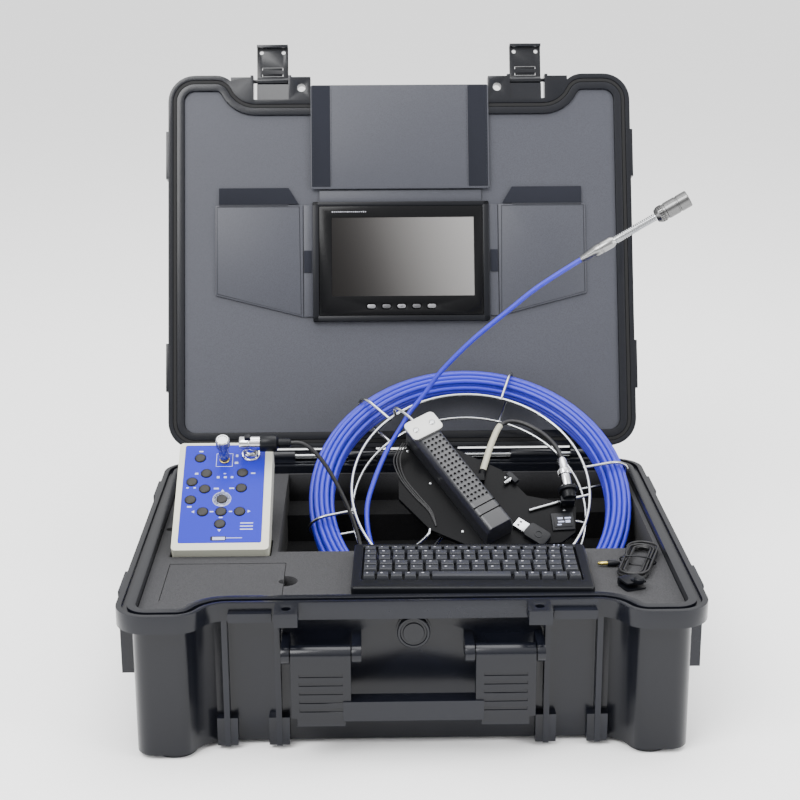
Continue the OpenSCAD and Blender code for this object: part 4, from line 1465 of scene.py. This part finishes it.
        # Dark blocks on the plug shell are painted shade in its two holes.
        pits = Sculpt()
        for y in (-3.4, 1.2):
            pits.box((-3.5, y, 5.15), (-1.3, y + 2.2, 5.26), 0, usb)
        pits.piece("dongle_pits", REEL, "reel", Palette.painted_pit_shade)
        body = Sculpt().prism(rounded(6, 31, -8.6, 8.6, 4.5), 0, 6.6, 1.2, usb)
        body.lathe([(3.0, 6.5), (4.0, 6.5), (3.9, 7.1), (3.1, 7.1), (3.0, 6.5)], usb @ shift(20, 0, 0), 24)
        body.piece("dongle_body", REEL, "reel", Palette.black)
        clip = shift(42.5, 12, 18) @ spin(-50)
        Sculpt().box((-7, -3, 0), (7, 3, 5), 1.0, clip).piece("guide_clip", REEL, "reel", Palette.black)
        Sculpt().lathe([(0, -8), (1.8, -8), (2, -7.6), (2, 1.5), (0, 1.5)],
                       clip @ shift(0, -3, 3) @ spin(90, "X") @ spin(180, "X"), 20).piece(
            "guide_pin", REEL, "reel", Palette.steel)
        heads = [shift(x, y, 18.0)
                 for x, y in ((-62, 48), (-40, 8), (-10, -50), (36, 14), (92, -26), (8, -56))]
        REPEAT.copies("hub_screws", self._screw(), heads, REEL, "reel", Palette.steel)
        wires = Sculpt()
        for k, off in enumerate((0, 2.4, 4.6)):
            wires.tube(smooth_path([(-62 - off, 50, 30), (-70 - off * 1.4, 34, 26 - k), (-66 - off, 14, 20),
                                    (-52 - off, -8, 19.2), (-40 - off * 0.6, -26, 19.2), (-36, -44, 18.9)], 7),
                       0.75, 8)
        wires.piece("hub_wires", REEL, "reel", Palette.cord)


@dataclass
class CameraHead:
    """Turned ferrule, spring neck, housing and window at the rod's end."""

    A = (178, 150, 367)
    B = (283, 146, 429)

    def build(self) -> None:
        """Dress the camera head."""
        spot = CASE.then(aim(self.A, self.B))
        long = (Vector(self.B) - Vector(self.A)).length
        front = long - 37
        Sculpt().lathe([(0, 0), (3.0, 0), (3.4, 0.6), (5.2, 15.5), (5.6, 16.5), (5.6, 22), (5.2, 22.4),
                        (5.2, 23.6), (5.6, 24), (5.6, 34.5), (5.0, 36), (4.2, 37.9),
                        (0, 37.9)], None, 40).piece(
            "ferrule_turned", spot, "reel", Palette.ferrule, ("head_ferrule",))
        neck = Sculpt().lathe([(0, 37.9), (3.3, 37.9), (3.3, front), (0, front)], None, 24)
        coil = [(3.35 * math.cos(a), 3.35 * math.sin(a), 38.8 + (front - 39.8) * k / 330)
                for k in range(331) for a in (math.tau * k / 15,)]
        neck.tube(coil, 0.8, 8)
        neck.piece("neck_spring", spot, "reel", Palette.steel, ("head_spring",))
        r = 8.5
        body = Sculpt().lathe([(0, front), (4.5, front), (6.2, front + 0.4),
                               (8.2, front + 3.6), (r, front + 4.4),
                               (r, front + 9), (r - 0.7, front + 9.5), (r - 0.7, front + 11.5),
                               (r, front + 12), (r, front + 24), (r - 0.6, front + 24.4),
                               (r - 0.6, front + 25.6), (r, front + 26), (r, front + 36.2),
                               (r - 0.7, front + 37), (r - 1.8, front + 37), (r - 1.8, front + 33.4),
                               (0, front + 33.4)], None, 56)
        body.piece("head_shell", spot, "reel", Palette.turned, ("head_housing",))
        # Dark blocks round the housing are painted shade in its slots.
        slots = [spin(15 * k) @ shift(r - 0.12, 0, front + 5.8 + 2.1 * j)
                 for k in range(24) for j in range(2)]
        REPEAT.copies("head_slots", Sculpt().box((-0.2, -0.5, -0.75), (0.2, 0.5, 0.75), 0.15), slots, spot,
                      "reel", Palette.painted_pit_shade)
        Sculpt().lathe([(0, front + 33.5), (6.6, front + 33.5), (6.6, front + 35.2), (6.0, front + 35.6),
                        (0, front + 35.6)], None, 40).piece("lens_window", spot, "reel", Palette.glass,
                                                            ("head_window",))
        lamps = [spin(30 * k) @ shift(5.0, 0, front + 33.45) for k in range(12)]
        REPEAT.copies("head_lamps", Sculpt().lathe([(0, 0.0), (0.85, 0.0), (0.8, 0.5), (0, 0.7)], None, 12),
                      lamps, spot, "reel", Palette.print)


@dataclass
class Keyboard:
    """The small keyboard with its keys."""

    ROWS = ((16, 7.5, 38), (15, 11.2, 27.4), (15, 11.2, 15), (14, 11.2, 2.6), (14, 11.2, -9.8))

    def build(self) -> None:
        """Dress the keyboard."""
        refined("keyboard_tray", "keyboard", Palette.black, 1.6, 3)
        Sculpt().box((-96.7, -32.7, 7), (96.7, 46.7, 8.3), 0.1).piece(
            "key_bed", KEYS, "keyboard", Palette.gloss, ("key_mat",))
        spots: List[Matrix] = []
        sizes: List[Point] = []
        for n, tall, y in self.ROWS:
            pitch = 192 / n
            for k in range(n):
                spots.append(shift(-96 + (k + 0.5) * pitch - 0.5, y, 8.3))
                sizes.append((pitch - 1.3, tall - 1.0, 5.0))
        for k in range(5):
            for s in (-1, 1):
                spots.append(shift(s * (42 + 12.1 * k), -24.8, 8.3))
                sizes.append((10.8, 10.2, 5.0))
        cap = Sculpt().prism([(-0.5, -0.5), (0.5, -0.5), (0.5, 0.5), (-0.5, 0.5)], 0, 1.0, 0.0)
        top = [v for v in cap.bm.verts if v.co.z > 0.5]
        for v in top:
            v.co.x *= 0.86
            v.co.y *= 0.86
        bmesh.ops.bevel(cap.bm, geom=list(cap.bm.edges), offset=0.07, segments=3, profile=0.6,
                        affect="EDGES", clamp_overlap=True)
        REPEAT.copies("key_caps", cap, spots, KEYS, "keyboard", Palette.cap, sizes)
        legends = [m @ shift(-size[0] * 0.2 + 0.5 * (k % 3), size[1] * 0.16, 5.02)
                   for k, (m, size) in enumerate(zip(spots, sizes))]
        shapes = [(1.0 + 0.5 * ((k * 7) % 3), 1.5 if size[1] > 8 else 0.8, 1)
                  for k, size in enumerate(sizes)]
        REPEAT.copies("key_legends", Sculpt().box((-0.5, -0.5, -0.02), (0.5, 0.5, 0.03)), legends, KEYS,
                      "keyboard", Palette.legend, shapes)
        bar = Sculpt().box((-35, -30, 9), (34, -19.6, 13.4), 0.9).box((-30, -28, 7.6), (29, -21.4, 9.2))
        bar.piece("space_cap", KEYS, "space_key", Palette.cap, ("space_bar",))
        lights = [shift(78 + 4.2 * k, 48.6, 11.0) for k in range(3)]
        REPEAT.copies("keyboard_lamps", Sculpt().lathe([(0, 0), (0.7, 0), (0.6, 0.25), (0, 0.3)], None, 12),
                      lights, KEYS, "keyboard", Palette.print)


@dataclass
class Microphone:
    """The clip, capsule and jack of the thin lead."""

    def build(self) -> None:
        """Dress the microphone's pieces."""
        spot = CASE.then(shift(194, -132, 131) @ spin(20))
        clip = Sculpt()
        clip.prism(rounded(-10, 10, -9, 9, 2.5), 0.0, 1.8, 0.4)
        clip.prism(rounded(-10, 10, -9, 9, 2.5), 6.2, 8.0, 0.4)
        clip.box((-10, 5, 1), (10, 9, 7), 0.6)
        clip.lathe([(0, 0), (3.4, 0), (4.6, 1.0), (5.0, 2.6), (4.9, 4.4), (3.6, 5.7), (0, 6.0)],
                   shift(0, -12, 8), 24)
        clip.box((-3, -12, 7), (3, -2, 9), 0.5)
        clip.piece("microphone_clip", spot, "microphone", Palette.black, ("mic_clip",))
        jack = CASE.then(shift(170, -84, 134.2) @ spin(90, "Y"))
        Sculpt().lathe([(0, 0), (1.0, 0.3), (1.75, 1.6), (1.3, 2.4), (1.75, 3.0), (1.75, 9), (0, 9)], None,
                       20).piece("jack_pin", jack, "microphone", Palette.brass, ("mic_jack",))
        Sculpt().lathe([(0, 9), (2.6, 9), (3.0, 9.6), (3.0, 16), (2.2, 18.5), (1.7, 20), (0, 20)], None,
                       20).piece("jack_body", jack, "microphone", Palette.black)
        tie = CASE.then(shift(207, -82, 131) @ spin(72))
        Sculpt().tube([(0, 16.4 * math.cos(a), 4.6 + 4.4 * math.sin(a)) for a in
                       (math.tau * k / 24 for k in range(24))], 0.8, 8, closed=True).piece(
            "hank_tie", tie, "microphone", Palette.black)


# ---------------------------------------------------------------- kit


def main() -> None:
    """Build the whole visual model over the frame."""
    global REPEAT
    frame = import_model()
    NODES.update(frame["nodes"])
    REPEAT = Repeater()
    Studio().build()
    for part in (CameraHead(), ControlBox(), Reel(), Microphone(), PushRod(), Leads(), CaseShell(),
                 LidInterior(), Keyboard()):
        part.build()


if __name__ == "__main__":
    main()
